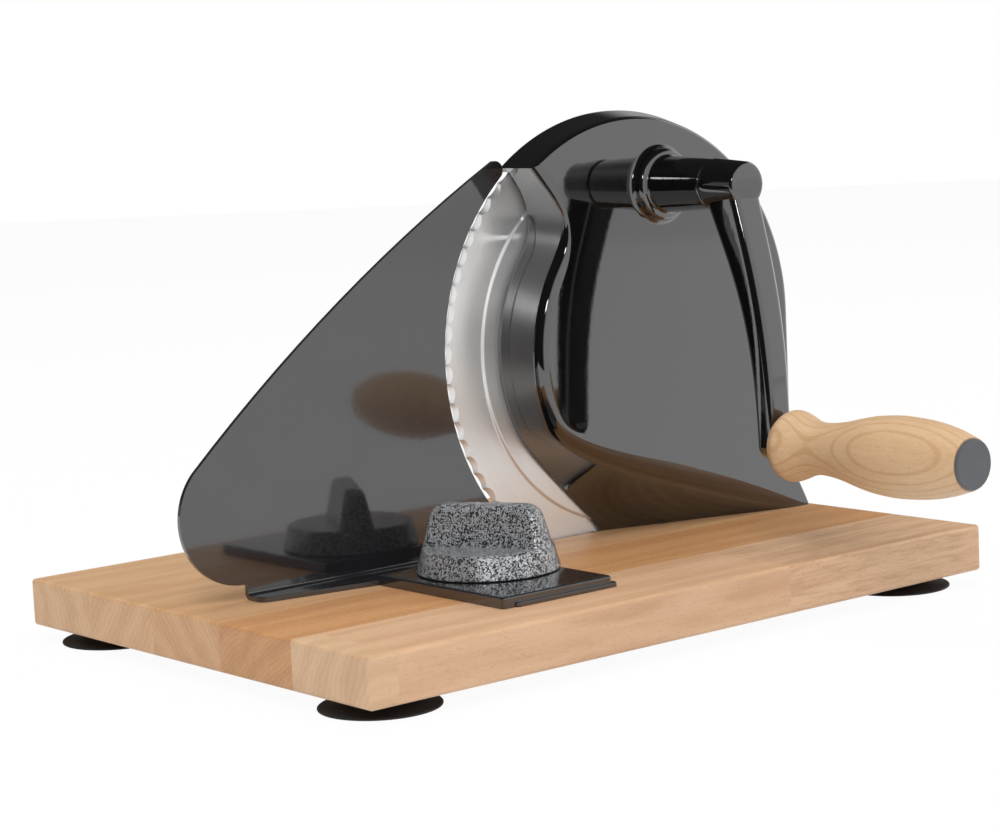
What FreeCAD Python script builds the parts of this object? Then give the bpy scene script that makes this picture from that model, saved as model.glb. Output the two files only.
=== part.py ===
# Hand cranked bread slicer: a beech board, an enamelled casting over a gear driven
# round blade, a sliding thickness gauge with its clamp knob, and a crank with a wooden
# handle. Millimetres, +Z up. The origin is on the floor under the middle of the box
# round the whole slicer. X runs along the board, and the crank is on the -Y side.
import FreeCAD
import Part
import math
import os

os.makedirs("parts", exist_ok=True)
Vec = FreeCAD.Vector

# Fits and gaps
running_fit = 0.05
free_gap = 0.3
glide_gap = 0.1

# Board, glued up from staves
board_length = 330.0
board_width = 243.0
board_thickness = 20.0
board_edge_radius = 1.6
stave_count = 5
end_block_length = 13.0
front_joint_from_left = 213.0

# Suction feet under the board
foot_height = 6.5
foot_radius = 23.6
foot_neck_radius = 9.0
foot_inset_x = 24.5
foot_inset_y = 28.0
foot_skin = 1.2
foot_floor = 2.2
foot_rim_width = 1.5
foot_screw_radius = 2.0
foot_screw_head_radius = 3.8
foot_screw_head_height = 1.6
foot_screw_length = 16.0

# Blade
blade_radius = 99.5
blade_thickness = 1.2
blade_teeth = 74
tooth_depth = 0.9
blade_right_of_centre = 76.0
blade_behind_centre = 7.0
blade_above_board = 83.0
blade_bore_radius = 9.0
blade_step_radius = 80.0
blade_step_height = 0.8
blade_edge_thickness = 0.5
blade_bevel_width = 3.0
blade_slot_side_gap = 1.8
blade_slot_end_gap = 3.0

# Casting over the blade
rim_gap = 0.8
rim_wall = 2.2
rim_overhang = 3.0
casting_depth = 29.5
casting_lip = 2.5
casting_wall = 4.0
casting_floor = 9.0
crescent_radius = 72.5
crescent_blade_gap = 1.7
edge_blade_gap = 0.8
edge_band_width = 2.5
face_edge_radius = 4.0
tip_angle = 128.0
hook_angle = 146.0
sweep_angle = 205.0
crescent_foot_left_of_blade = 20.5
face_foot_right_of_blade = 76.0
casting_foot_right_of_blade = 87.5
flank_draft = 4.5
face_top_radius = 86.0
face_top_left_of_blade = 14.0
face_top_above_blade = 10.5

# Gears: a small pinion on the crank shaft turns the wheel on the blade
gear_module = 2.0
pinion_teeth = 14
wheel_teeth = 56
pressure_angle = 25.0
tooth_addendum = 0.8
tooth_dedendum = 1.1
gear_backlash = 0.25
wheel_width = 6.0
pinion_width = 8.0
wheel_hub_radius = 16.0
wheel_web = 3.0
wheel_blade_gap = 3.2
wheel_holes = 6
wheel_hole_radius = 9.0
wheel_rim = 6.0
rivet_count = 3
rivet_radius = 1.5
gear_side_gap = 1.2

# Shafts, bushes and the blade's axle
axle_radius = 5.0
shaft_radius = 5.0
bush_wall = 2.0
bush_flange = 1.5
axle_post_radius = 13.0
cap_radius = 15.0
cap_thickness = 1.6
cap_screw_radius = 2.5
cap_screw_head_radius = 4.5
cap_screw_length = 12.0

# Crank
boss_foot_radius = 15.8
boss_radius = 10.6
boss_flare = 9.0
boss_length = 34.5
hub_length = 19.5
hub_inner_radius = 11.0
hub_outer_radius = 9.6
hub_end_wall = 5.0
crank_throw = 109.0
arm_sweep = 15.2
arm_thickness = 10.0
arm_top_width = 18.0
arm_end_width = 12.6
arm_edge_radius = 2.2
grub_radius = 2.0

# Handle
handle_length = 101.5
handle_end_radius = 8.5
handle_bulb_radius = 15.0
handle_neck_radius = 10.9
handle_belly_radius = 16.6
handle_tail_radius = 10.4
handle_washer_radius = 7.5
handle_washer_thickness = 1.0
spindle_radius = 4.0
spindle_head_radius = 6.5
spindle_head_height = 3.0
handle_cap_thickness = 1.5
handle_cap_stem = 3.0

# Thickness gauge: one bent sheet with a tab under the knob
gauge_sheet = 2.0
gauge_travel = 16.0
gauge_before_blade = 2.0
gauge_blade_gap = 3.5
gauge_corner_radius = 28.0
gauge_left_inset = 2.8
gauge_corner_above_board = 34.5
gauge_tip_angle = 131.4
gauge_tip_radius = 4.0
gauge_bow = 6.0
flange_left_depth = 10.0
flange_right_depth = 19.0
bend_radius = 3.0
tab_left_of_blade = 155.5
tab_width = 53.0
tab_front_before_blade = 100.5
cover_thickness = 2.5
cover_skirt = 1.6
cover_lip = 1.8
cover_notch = 6.0

# Clamp knob and its stud
knob_left_of_blade = 123.0
knob_before_blade = 51.5
knob_radius = 29.4
knob_top_radius = 22.6
knob_shoulder_radius = 5.0
knob_skirt_height = 10.0
knob_skirt_edge_radius = 1.2
knob_height = 27.0
grip_top_thickness = 8.5
grip_foot_thickness = 20.0
grip_angle = -61.0
grip_end_inset = 0.1
grip_corner_radius = 2.5
knob_hollow_wall = 3.5
stud_radius = 4.0
insert_radius = 7.0
insert_length = 12.0
knob_nut_radius = 6.5
knob_nut_length = 12.0
knob_nut_wall = 3.5

# Screws that hold the casting to the board
casting_screw_radius = 2.5
casting_screw_head_radius = 4.8
casting_screw_head_height = 3.0
casting_screw_reach = 7.0
screw_places_along = (0.12, 0.48, 0.84)
screw_places_deep = (0.30, 0.44, 0.50)

# Places worked out from the sizes above
rim_inner_radius = blade_radius + rim_gap
rim_radius = rim_inner_radius + rim_wall
reach_right = blade_right_of_centre + rim_radius
board_x = (board_length / 2 - reach_right) / 2
face_before_centre = casting_depth - blade_behind_centre
boss_end_before_centre = face_before_centre + boss_length
hub_end_before_centre = boss_end_before_centre + free_gap + hub_length
arm_face_before_centre = hub_end_before_centre + arm_sweep
handle_start_before_centre = (
    arm_face_before_centre + handle_washer_thickness + 2 * running_fit
)
handle_end_before_centre = handle_start_before_centre + handle_length
reach_front = handle_end_before_centre + handle_cap_thickness
board_y = (reach_front - board_width / 2) / 2

board_left = board_x - board_length / 2
board_right = board_x + board_length / 2
board_front = board_y - board_width / 2
board_bottom = foot_height
board_top = board_bottom + board_thickness

blade_x = board_x + blade_right_of_centre
blade_y = board_y + blade_behind_centre
blade_z = board_top + blade_above_board
blade_back_y = blade_y + blade_thickness
rim_back_y = blade_back_y + rim_overhang - blade_thickness
face_y = blade_y - casting_depth
lip_y = rim_back_y - casting_lip
recess_y = blade_y - crescent_blade_gap
edge_recess_y = blade_y - edge_blade_gap
cavity_y = face_y + casting_wall

crank_x = blade_x
centre_distance = gear_module * (pinion_teeth + wheel_teeth) / 2
crank_z = blade_z + centre_distance
boss_end_y = face_y - boss_length
hub_start_y = boss_end_y - free_gap
hub_end_y = hub_start_y - hub_length
arm_face_y = hub_end_y - arm_sweep
handle_z = crank_z - crank_throw
handle_start_y = board_y - handle_start_before_centre
handle_end_y = handle_start_y - handle_length

wheel_outer_radius = gear_module * (wheel_teeth / 2 + tooth_addendum)
pinion_outer_radius = gear_module * (pinion_teeth / 2 + tooth_addendum)
blade_face_y = blade_y - blade_step_height
wheel_front_y = blade_y - wheel_blade_gap - wheel_width
pinion_front_y = wheel_front_y - (pinion_width - wheel_width) / 2
pinion_back_y = pinion_front_y + pinion_width
pocket_y = pinion_front_y - gear_side_gap
post_end_y = wheel_front_y - free_gap
crank_post_end_y = pinion_front_y - free_gap - bush_flange

axle_start_y = face_y + bush_wall + 1
cap_front_y = blade_face_y + blade_thickness + running_fit
cap_back_y = cap_front_y + cap_thickness
handle_bore_radius = spindle_head_radius + 1
head_seat_y = handle_end_y + handle_cap_stem + running_fit + spindle_head_height

gauge_back_y = blade_y - gauge_before_blade
gauge_front_y = gauge_back_y - gauge_sheet
knob_x = blade_x - knob_left_of_blade
knob_y = blade_y - knob_before_blade
tab_left = blade_x - tab_left_of_blade
tab_front_y = blade_y - tab_front_before_blade
cover_top = board_top + glide_gap + gauge_sheet + cover_thickness
knob_bottom = cover_top + free_gap


def save(name, shape):
    """Write one node's solids to its own STEP file."""
    shape = shape.removeSplitter()
    shape.exportStep("parts/" + name + ".step")
    print(name, len(shape.Solids), "solids", round(shape.Volume, 1), "mm3", shape.isValid())


def upright(x, z, y):
    """A point of a drawing that stands parallel to the blade."""
    return Vec(x, y, z)


def line(a, b):
    return Part.LineSegment(a, b).toShape()


def arc(a, middle, b):
    return Part.Arc(a, middle, b).toShape()


def bezier(points):
    curve = Part.BezierCurve()
    curve.setPoles(points)
    return curve.toShape()


def spline(points):
    curve = Part.BSplineCurve()
    curve.interpolate(points)
    return curve.toShape()


def face_of(edges):
    return Part.Face(Part.Wire(edges))


def on_circle(centre_x, centre_z, radius, degrees, y):
    angle = math.radians(degrees)
    return Vec(centre_x + radius * math.cos(angle), y, centre_z + radius * math.sin(angle))


def circle_arc(centre_x, centre_z, radius, start, end, y):
    middle = (start + end) / 2
    return arc(
        on_circle(centre_x, centre_z, radius, start, y),
        on_circle(centre_x, centre_z, radius, middle, y),
        on_circle(centre_x, centre_z, radius, end, y),
    )


def rod_y(x, z, radius, y_from, y_to):
    """A round bar along Y."""
    low = min(y_from, y_to)
    return Part.makeCylinder(radius, abs(y_to - y_from), Vec(x, low, z), Vec(0, 1, 0))


def tube_y(x, z, outer, inner, y_from, y_to):
    return rod_y(x, z, outer, y_from, y_to).cut(rod_y(x, z, inner, y_from, y_to))


def rod_z(x, y, radius, z_from, z_to):
    """A round bar along Z."""
    return Part.makeCylinder(radius, z_to - z_from, Vec(x, y, z_from))


def box(x_from, x_to, y_from, y_to, z_from, z_to):
    return Part.makeBox(x_to - x_from, y_to - y_from, z_to - z_from, Vec(x_from, y_from, z_from))


def turned_about_y(profile, x, z):
    """Turn a closed profile, drawn in the plane x = x, once round the Y axis at x, z."""
    return profile.revolve(Vec(x, 0, z), Vec(0, 1, 0), 360)


def edges_where(shape, test):
    return [edge for edge in shape.Edges if test(edge)]


def round_edges(shape, radius, test):
    return shape.makeFillet(radius, edges_where(shape, test))


# Casting outlines. Each has the same seven stretches, so they join one to one.
crescent_foot_x = blade_x - crescent_foot_left_of_blade
face_foot_x = blade_x + face_foot_right_of_blade
casting_foot_x = blade_x + casting_foot_right_of_blade
leg_start_angle = -30.0
face_radius = crescent_radius - flank_draft
face_top_x = blade_x - face_top_left_of_blade
face_top_z = blade_z + face_top_above_blade
face_side_x = face_top_x + face_top_radius
face_leg_z = board_top + 30.0
face_tip_angle = 115.0
cavity_foot_x = face_foot_x - casting_floor / math.tan(math.radians(30))


def tangent(point, degrees, length):
    angle = math.radians(degrees)
    return point + Vec(length * math.cos(angle), 0, length * math.sin(angle))


def rim_outline(y):
    """The casting's outline at the blade: rim, foot and crescent edge."""
    tip = on_circle(blade_x, blade_z, rim_radius, tip_angle, y)
    leg = on_circle(blade_x, blade_z, rim_radius, leg_start_angle, y)
    right_foot = upright(casting_foot_x, board_top, y)
    left_foot = upright(crescent_foot_x, board_top, y)
    sweep = on_circle(blade_x, blade_z, crescent_radius, sweep_angle, y)
    hook = on_circle(blade_x, blade_z, crescent_radius, hook_angle, y)
    return [
        circle_arc(blade_x, blade_z, rim_radius, tip_angle, 0, y),
        circle_arc(blade_x, blade_z, rim_radius, 0, leg_start_angle, y),
        bezier([leg, tangent(leg, leg_start_angle - 90, 12), tangent(right_foot, 98, 10), right_foot]),
        line(right_foot, left_foot),
        bezier([left_foot, tangent(left_foot, 131, 30), tangent(sweep, sweep_angle + 90, 14), sweep]),
        circle_arc(blade_x, blade_z, crescent_radius, sweep_angle, hook_angle, y),
        bezier([hook, tangent(hook, hook_angle - 90, 14), tangent(tip, -60, 16), tip]),
    ]


def face_outline(y):
    """The outline of the casting's flat face, inside the rim outline."""
    tip = on_circle(face_top_x, face_top_z, face_top_radius, face_tip_angle, y)
    side = upright(face_side_x, face_top_z, y)
    leg = upright(face_side_x, face_leg_z, y)
    right_foot = upright(casting_foot_x - 1.5, board_top, y)
    left_foot = upright(face_foot_x, board_top, y)
    sweep = on_circle(blade_x, blade_z, face_radius, sweep_angle, y)
    hook = on_circle(blade_x, blade_z, face_radius, hook_angle, y)
    return [
        circle_arc(face_top_x, face_top_z, face_top_radius, face_tip_angle, 0, y),
        line(side, leg),
        bezier([leg, tangent(leg, -90, 12), tangent(right_foot, 114, 12), right_foot]),
        line(right_foot, left_foot),
        bezier([left_foot, tangent(left_foot, 162, 60), tangent(sweep, sweep_angle + 90, 20), sweep]),
        circle_arc(blade_x, blade_z, face_radius, sweep_angle, hook_angle, y),
        bezier([hook, tangent(hook, hook_angle - 90, 14), tangent(tip, -70, 12), tip]),
    ]


def cavity_outline(y):
    """The outline of the hollow behind the flat face, one wall inside it."""
    top_radius = face_top_radius - casting_wall
    left_radius = face_radius - casting_wall
    tip = on_circle(face_top_x, face_top_z, top_radius, face_tip_angle - 8, y)
    side = upright(face_side_x - casting_wall, face_top_z, y)
    corner = upright(face_side_x - casting_wall, board_top + casting_floor, y)
    foot = upright(cavity_foot_x, board_top + casting_floor, y)
    sweep = on_circle(blade_x, blade_z, left_radius, sweep_angle, y)
    hook = on_circle(blade_x, blade_z, left_radius, hook_angle, y)
    return [
        circle_arc(face_top_x, face_top_z, top_radius, face_tip_angle - 8, 0, y),
        line(side, corner),
        line(corner, foot),
        bezier([foot, tangent(foot, 160, 45), tangent(sweep, sweep_angle + 90, 20), sweep]),
        circle_arc(blade_x, blade_z, left_radius, sweep_angle, hook_angle, y),
        bezier([hook, tangent(hook, hook_angle - 90, 10), tangent(tip, -90, 10), tip]),
    ]


def casting_body():
    """The outer form: a straight lip round the blade, then walls drawn in to the face."""
    lip = face_of(rim_outline(rim_back_y)).extrude(Vec(0, lip_y - rim_back_y, 0))
    rim = Part.Wire(rim_outline(lip_y))
    face = Part.Wire(face_outline(face_y))
    hood = Part.makeLoft([rim, face], True, True)
    return lip, hood


def make_casting():
    """The enamelled casting, hollow over the gears and open at the back for the blade."""
    lip, hood = casting_body()
    body = lip.fuse(hood).removeSplitter()

    def on_face_edge(edge):
        on_face = all(abs(v.Y - face_y) < 0.01 for v in edge.Vertexes)
        at_foot = all(abs(v.Z - board_top) < 0.01 for v in edge.Vertexes)
        return on_face and not at_foot

    body = round_edges(body, face_edge_radius, on_face_edge)
    cavity = face_of(cavity_outline(cavity_y)).extrude(Vec(0, recess_y - cavity_y, 0))
    body = body.cut(cavity)
    wheel_pocket = wheel_outer_radius + gear_side_gap
    pinion_pocket = pinion_outer_radius + gear_side_gap
    body = body.cut(rod_y(blade_x, blade_z, wheel_pocket, pocket_y, recess_y))
    body = body.cut(rod_y(crank_x, crank_z, pinion_pocket, pocket_y, recess_y))
    recess_radius = blade_radius - edge_band_width
    body = body.cut(rod_y(blade_x, blade_z, recess_radius, recess_y, edge_recess_y))
    body = body.cut(rod_y(blade_x, blade_z, rim_inner_radius, edge_recess_y, rim_back_y + rim_wall))

    flare = face_of(
        [
            line(Vec(crank_x, cavity_y, crank_z), Vec(crank_x + boss_foot_radius, cavity_y, crank_z)),
            line(
                Vec(crank_x + boss_foot_radius, cavity_y, crank_z),
                Vec(crank_x + boss_foot_radius, face_y - boss_flare / 6, crank_z),
            ),
            bezier(
                [
                    Vec(crank_x + boss_foot_radius, face_y - boss_flare / 6, crank_z),
                    Vec(crank_x + boss_foot_radius, face_y - boss_flare * 0.6, crank_z),
                    Vec(crank_x + boss_radius, face_y - boss_flare * 0.6, crank_z),
                    Vec(crank_x + boss_radius, face_y - boss_flare * 1.3, crank_z),
                ]
            ),
            line(
                Vec(crank_x + boss_radius, face_y - boss_flare * 1.3, crank_z),
                Vec(crank_x + boss_radius, boss_end_y, crank_z),
            ),
            line(Vec(crank_x + boss_radius, boss_end_y, crank_z), Vec(crank_x, boss_end_y, crank_z)),
            line(Vec(crank_x, boss_end_y, crank_z), Vec(crank_x, cavity_y, crank_z)),
        ]
    )
    boss = turned_about_y(flare, crank_x, crank_z)
    crank_post = rod_y(crank_x, crank_z, boss_radius, cavity_y - 1, crank_post_end_y)
    axle_post = rod_y(blade_x, blade_z, axle_post_radius, cavity_y - 1, post_end_y)
    body = body.fuse([boss, crank_post, axle_post])
    body = body.cut(rod_y(crank_x, crank_z, shaft_radius + bush_wall, boss_end_y - 1, crank_post_end_y + 1))
    body = body.cut(rod_y(blade_x, blade_z, axle_radius, axle_start_y, post_end_y + 1))
    for x, y in casting_screw_places():
        body = body.cut(rod_z(x, y, casting_screw_radius, board_top - 1, board_top + casting_screw_reach))
    return body


def casting_screw_places():
    """Three screws along the foot, from the narrow left end to the deep right end."""
    return [
        (blade_x + along * casting_foot_right_of_blade, blade_y - deep * casting_depth)
        for along, deep in zip(screw_places_along, screw_places_deep)
    ]


def scallop_outline(radius, teeth, depth, y):
    """A closed edge of shallow hollow bites that meet in points on the radius."""
    edges = []
    step = 360.0 / teeth
    for i in range(teeth):
        edges.append(
            arc(
                on_circle(blade_x, blade_z, radius, i * step, y),
                on_circle(blade_x, blade_z, radius - depth, (i + 0.5) * step, y),
                on_circle(blade_x, blade_z, radius, (i + 1) * step, y),
            )
        )
    return edges


def make_blade():
    """A pressed steel disc: dished middle, step, flat band and a ground scalloped edge."""
    back = blade_y + blade_thickness
    ramp = blade_step_height
    corners = [
        (blade_bore_radius, blade_face_y),
        (blade_step_radius - ramp, blade_face_y),
        (blade_step_radius + ramp, blade_y),
        (blade_radius - blade_bevel_width, blade_y),
        (blade_radius + 1, back - blade_edge_thickness),
        (blade_radius + 1, back),
        (blade_step_radius + ramp, back),
        (blade_step_radius - ramp, back - blade_step_height),
        (blade_bore_radius, back - blade_step_height),
    ]
    points = [Vec(blade_x + r, y, blade_z) for r, y in corners]
    profile = Part.Face(Part.makePolygon(points + points[:1]))
    disc = turned_about_y(profile, blade_x, blade_z)
    scallops = face_of(scallop_outline(blade_radius, blade_teeth, tooth_depth, blade_y - 2))
    disc = disc.common(scallops.extrude(Vec(0, blade_thickness + 4, 0)))
    for x, z in rivet_places():
        disc = disc.cut(rod_y(x, z, rivet_radius, blade_face_y - 1, back + 1))
    return disc


def rivet_places():
    pitch_radius = (blade_bore_radius + wheel_hub_radius) / 2
    places = []
    for i in range(rivet_count):
        point = on_circle(blade_x, blade_z, pitch_radius, 90 + 360.0 * i / rivet_count, 0)
        places.append((point.x, point.z))
    return places


def involute(angle):
    return math.tan(angle) - angle


def spur_gear(x, z, teeth, y, width, first_tooth):
    """A spur gear about Y with involute flanks; the first tooth points at the given angle."""
    pitch_radius = gear_module * teeth / 2
    pressure = math.radians(pressure_angle)
    base_radius = pitch_radius * math.cos(pressure)
    tip_radius = pitch_radius + tooth_addendum * gear_module
    root_radius = pitch_radius - tooth_dedendum * gear_module
    start_radius = max(base_radius, root_radius)
    middle_radius = (start_radius + tip_radius) / 2
    pitch_half = math.pi / (2 * teeth) - gear_backlash / (4 * pitch_radius)

    def flank(radius, tooth, side):
        away = math.acos(min(1.0, base_radius / radius))
        half = pitch_half + involute(pressure) - involute(away)
        degrees = first_tooth + 360.0 * tooth / teeth + side * math.degrees(half)
        return degrees

    def at(radius, degrees):
        return on_circle(x, z, radius, degrees, y)

    edges = []
    for i in range(teeth):
        low_left = flank(start_radius, i, -1)
        low_right = flank(start_radius, i, 1)
        next_left = flank(start_radius, i + 1, -1)
        if start_radius > root_radius:
            edges.append(line(at(root_radius, low_left), at(start_radius, low_left)))
        edges.append(
            arc(
                at(start_radius, low_left),
                at(middle_radius, flank(middle_radius, i, -1)),
                at(tip_radius, flank(tip_radius, i, -1)),
            )
        )
        edges.append(line(at(tip_radius, flank(tip_radius, i, -1)), at(tip_radius, flank(tip_radius, i, 1))))
        edges.append(
            arc(
                at(tip_radius, flank(tip_radius, i, 1)),
                at(middle_radius, flank(middle_radius, i, 1)),
                at(start_radius, low_right),
            )
        )
        if start_radius > root_radius:
            edges.append(line(at(start_radius, low_right), at(root_radius, low_right)))
        edges.append(line(at(root_radius, low_right), at(root_radius, next_left)))
    return face_of(edges).extrude(Vec(0, width, 0))


def make_wheel():
    """The large gear, riveted to the blade, with a thin pierced web."""
    gap_up = 90 + 180.0 / wheel_teeth
    wheel = spur_gear(blade_x, blade_z, wheel_teeth, wheel_front_y, wheel_width, gap_up)
    root_radius = gear_module * (wheel_teeth / 2 - tooth_dedendum)
    side = (wheel_width - wheel_web) / 2
    rim_inside = root_radius - wheel_rim
    for y in (wheel_front_y, wheel_front_y + wheel_width - side):
        wheel = wheel.cut(tube_y(blade_x, blade_z, rim_inside, wheel_hub_radius, y, y + side))
    hole_circle = (rim_inside + wheel_hub_radius) / 2
    for i in range(wheel_holes):
        point = on_circle(blade_x, blade_z, hole_circle, 360.0 * i / wheel_holes, 0)
        wheel = wheel.cut(
            rod_y(point.x, point.z, wheel_hole_radius, wheel_front_y, wheel_front_y + wheel_width)
        )
    wheel = wheel.fuse(rod_y(blade_x, blade_z, wheel_hub_radius, wheel_front_y, blade_face_y))
    wheel = wheel.fuse(rod_y(blade_x, blade_z, blade_bore_radius, blade_face_y, blade_face_y + blade_thickness))
    wheel = wheel.cut(rod_y(blade_x, blade_z, axle_radius + bush_wall, wheel_front_y - 1, rim_back_y))
    for x, z in rivet_places():
        wheel = wheel.cut(rod_y(x, z, rivet_radius, wheel_front_y, blade_face_y))
    return wheel


def make_pinion():
    tooth_down = 270
    pinion = spur_gear(crank_x, crank_z, pinion_teeth, pinion_front_y, pinion_width, tooth_down)
    return pinion.cut(rod_y(crank_x, crank_z, shaft_radius, pinion_front_y, pinion_back_y))


def make_crank_arm():
    """The cast crank: a tapered hub and an arm that sweeps out from the casting."""
    hub = Part.makeCone(
        hub_inner_radius, hub_outer_radius, hub_length, Vec(crank_x, hub_start_y, crank_z), Vec(0, -1, 0)
    )
    hub = round_edges(hub, 1.2, lambda edge: edge.Length > 10 and edge.BoundBox.YLength < 0.01)
    inner_y = arm_face_y + arm_thickness
    bottom = handle_z - arm_end_width / 2
    fall = crank_z - handle_z
    x = crank_x - arm_top_width

    def side(y, z):
        return Vec(x, y, z)

    side_view = face_of(
        [
            bezier(
                [
                    side(hub_start_y, crank_z - 5),
                    side(hub_start_y - 12, crank_z - 0.32 * fall),
                    side(inner_y, crank_z - 0.49 * fall),
                    side(inner_y, handle_z),
                ]
            ),
            line(side(inner_y, handle_z), side(inner_y, bottom)),
            line(side(inner_y, bottom), side(arm_face_y, bottom)),
            line(side(arm_face_y, bottom), side(arm_face_y, handle_z)),
            bezier(
                [
                    side(arm_face_y, handle_z),
                    side(arm_face_y, crank_z - 0.5 * fall),
                    side(hub_end_y - 7, crank_z - 0.3 * fall),
                    side(hub_end_y + 0.5, crank_z - 4),
                ]
            ),
            line(side(hub_end_y + 0.5, crank_z - 4), side(hub_start_y, crank_z - 5)),
        ]
    )
    side_solid = side_view.extrude(Vec(2 * arm_top_width, 0, 0))
    top = arm_top_width / 2
    end = arm_end_width / 2
    y = arm_face_y - 1
    front_view = face_of(
        [
            line(upright(crank_x - top, crank_z, y), upright(crank_x - end, handle_z, y)),
            arc(
                upright(crank_x - end, handle_z, y),
                upright(crank_x, bottom, y),
                upright(crank_x + end, handle_z, y),
            ),
            line(upright(crank_x + end, handle_z, y), upright(crank_x + top, crank_z, y)),
            line(upright(crank_x + top, crank_z, y), upright(crank_x - top, crank_z, y)),
        ]
    )
    arm = side_solid.common(front_view.extrude(Vec(0, hub_start_y - y, 0)))
    arm = round_edges(arm, arm_edge_radius, lambda edge: edge.Length > crank_throw / 2)
    crank = hub.fuse(arm).removeSplitter()
    crank = crank.cut(rod_y(crank_x, crank_z, shaft_radius, hub_start_y + 1, hub_end_y + hub_end_wall))
    crank = crank.cut(rod_y(crank_x, handle_z, spindle_radius - 1, inner_y + 1, arm_face_y - 1))
    return crank.cut(grub_screw())


def grub_screw():
    """A headless screw from the side of the hub down on to the shaft."""
    y = (hub_start_y + hub_end_y) / 2
    return Part.makeCylinder(
        grub_radius, hub_outer_radius - shaft_radius - 0.5, Vec(crank_x + shaft_radius, y, crank_z), Vec(1, 0, 0)
    )


def make_crank_shaft():
    return rod_y(crank_x, crank_z, shaft_radius, hub_end_y + hub_end_wall, pinion_back_y)


def make_inner_bush():
    """The flanged bush behind the pinion."""
    bore = shaft_radius + running_fit
    outer = shaft_radius + bush_wall
    sleeve = rod_y(crank_x, crank_z, outer, face_y, crank_post_end_y + bush_flange)
    flange = rod_y(crank_x, crank_z, outer + bush_wall, crank_post_end_y, crank_post_end_y + bush_flange)
    return sleeve.fuse(flange).cut(rod_y(crank_x, crank_z, bore, face_y - 1, pinion_back_y))


def make_outer_bush():
    outer = shaft_radius + bush_wall
    return tube_y(crank_x, crank_z, outer, shaft_radius + running_fit, boss_end_y, boss_end_y + boss_length / 2)


def make_blade_bush():
    outer = axle_radius + bush_wall
    return tube_y(
        blade_x, blade_z, outer, axle_radius + running_fit, wheel_front_y, blade_face_y + blade_thickness
    )


def make_axle():
    """The fixed pin that carries the blade, threaded at its end for the cap screw."""
    axle = rod_y(blade_x, blade_z, axle_radius, axle_start_y, cap_front_y)
    return axle.cut(rod_y(blade_x, blade_z, cap_screw_radius, cap_back_y - cap_screw_length, cap_back_y))


def make_cap_screw():
    shank = rod_y(blade_x, blade_z, cap_screw_radius, cap_back_y - cap_screw_length, cap_back_y)
    head = Part.makeCone(
        cap_screw_radius,
        cap_screw_head_radius,
        cap_thickness,
        Vec(blade_x, cap_front_y, blade_z),
        Vec(0, 1, 0),
    )
    slot = box(
        blade_x - cap_screw_head_radius,
        blade_x + cap_screw_head_radius,
        cap_back_y - cap_thickness / 3,
        cap_back_y + 1,
        blade_z - 0.5,
        blade_z + 0.5,
    )
    return shank.fuse(head), slot


def make_handle():
    """The turned beech grip: bulb, neck, belly and a tail under the cap."""
    shape = [
        (0.0, handle_end_radius),
        (0.02, handle_end_radius + 0.66 * (handle_bulb_radius - handle_end_radius)),
        (0.065, handle_bulb_radius),
        (0.13, (handle_bulb_radius + handle_neck_radius) / 2),
        (0.22, handle_neck_radius),
        (0.36, handle_neck_radius + 0.32 * (handle_belly_radius - handle_neck_radius)),
        (0.52, handle_neck_radius + 0.84 * (handle_belly_radius - handle_neck_radius)),
        (0.67, handle_belly_radius),
        (0.84, handle_tail_radius + 0.74 * (handle_belly_radius - handle_tail_radius)),
        (1.0, handle_tail_radius),
    ]
    curve = [Vec(crank_x + r, handle_start_y - s * handle_length, handle_z) for s, r in shape]
    start = Vec(crank_x, handle_start_y, handle_z)
    end = Vec(crank_x, handle_end_y, handle_z)
    profile = face_of([spline(curve), line(curve[-1], end), line(end, start), line(start, curve[0])])
    handle = turned_about_y(profile, crank_x, handle_z)
    handle = handle.cut(
        rod_y(crank_x, handle_z, spindle_radius + running_fit, handle_start_y + 1, handle_end_y - 1)
    )
    return handle.cut(
        rod_y(crank_x, handle_z, handle_bore_radius, head_seat_y + running_fit, handle_end_y - 1)
    )


def make_spindle():
    """The shouldered pin riveted into the arm, with a head that keeps the handle on."""
    tail = rod_y(crank_x, handle_z, spindle_radius - 1, arm_face_y + arm_thickness, arm_face_y)
    shank = rod_y(crank_x, handle_z, spindle_radius, arm_face_y, head_seat_y)
    head = rod_y(crank_x, handle_z, spindle_head_radius, head_seat_y, head_seat_y - spindle_head_height)
    return tail.fuse([shank, head])


def make_handle_washer():
    return tube_y(
        crank_x,
        handle_z,
        handle_washer_radius,
        spindle_radius,
        arm_face_y,
        arm_face_y - handle_washer_thickness,
    )


def make_handle_cap():
    disc = rod_y(crank_x, handle_z, handle_tail_radius, handle_end_y, handle_end_y - handle_cap_thickness)
    cap_end = handle_end_y - handle_cap_thickness
    disc = round_edges(disc, handle_cap_thickness / 2, lambda edge: abs(edge.BoundBox.YMin - cap_end) < 0.01)
    return disc.fuse(rod_y(crank_x, handle_z, handle_bore_radius, handle_end_y, handle_end_y + handle_cap_stem))


def flat_plate(points, z_from, z_to):
    corners = [Vec(x, y, z_from) for x, y in points]
    return Part.Face(Part.makePolygon(corners + corners[:1])).extrude(Vec(0, 0, z_to - z_from))


def travel_slot(z_from, z_to):
    """The slot that lets the gauge slide past the stud."""
    half = stud_radius + 0.5
    slot = box(knob_x - half, knob_x + half, knob_y, knob_y + gauge_travel, z_from, z_to)
    return slot.fuse([rod_z(knob_x, y, half, z_from, z_to) for y in (knob_y, knob_y + gauge_travel)])


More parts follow.
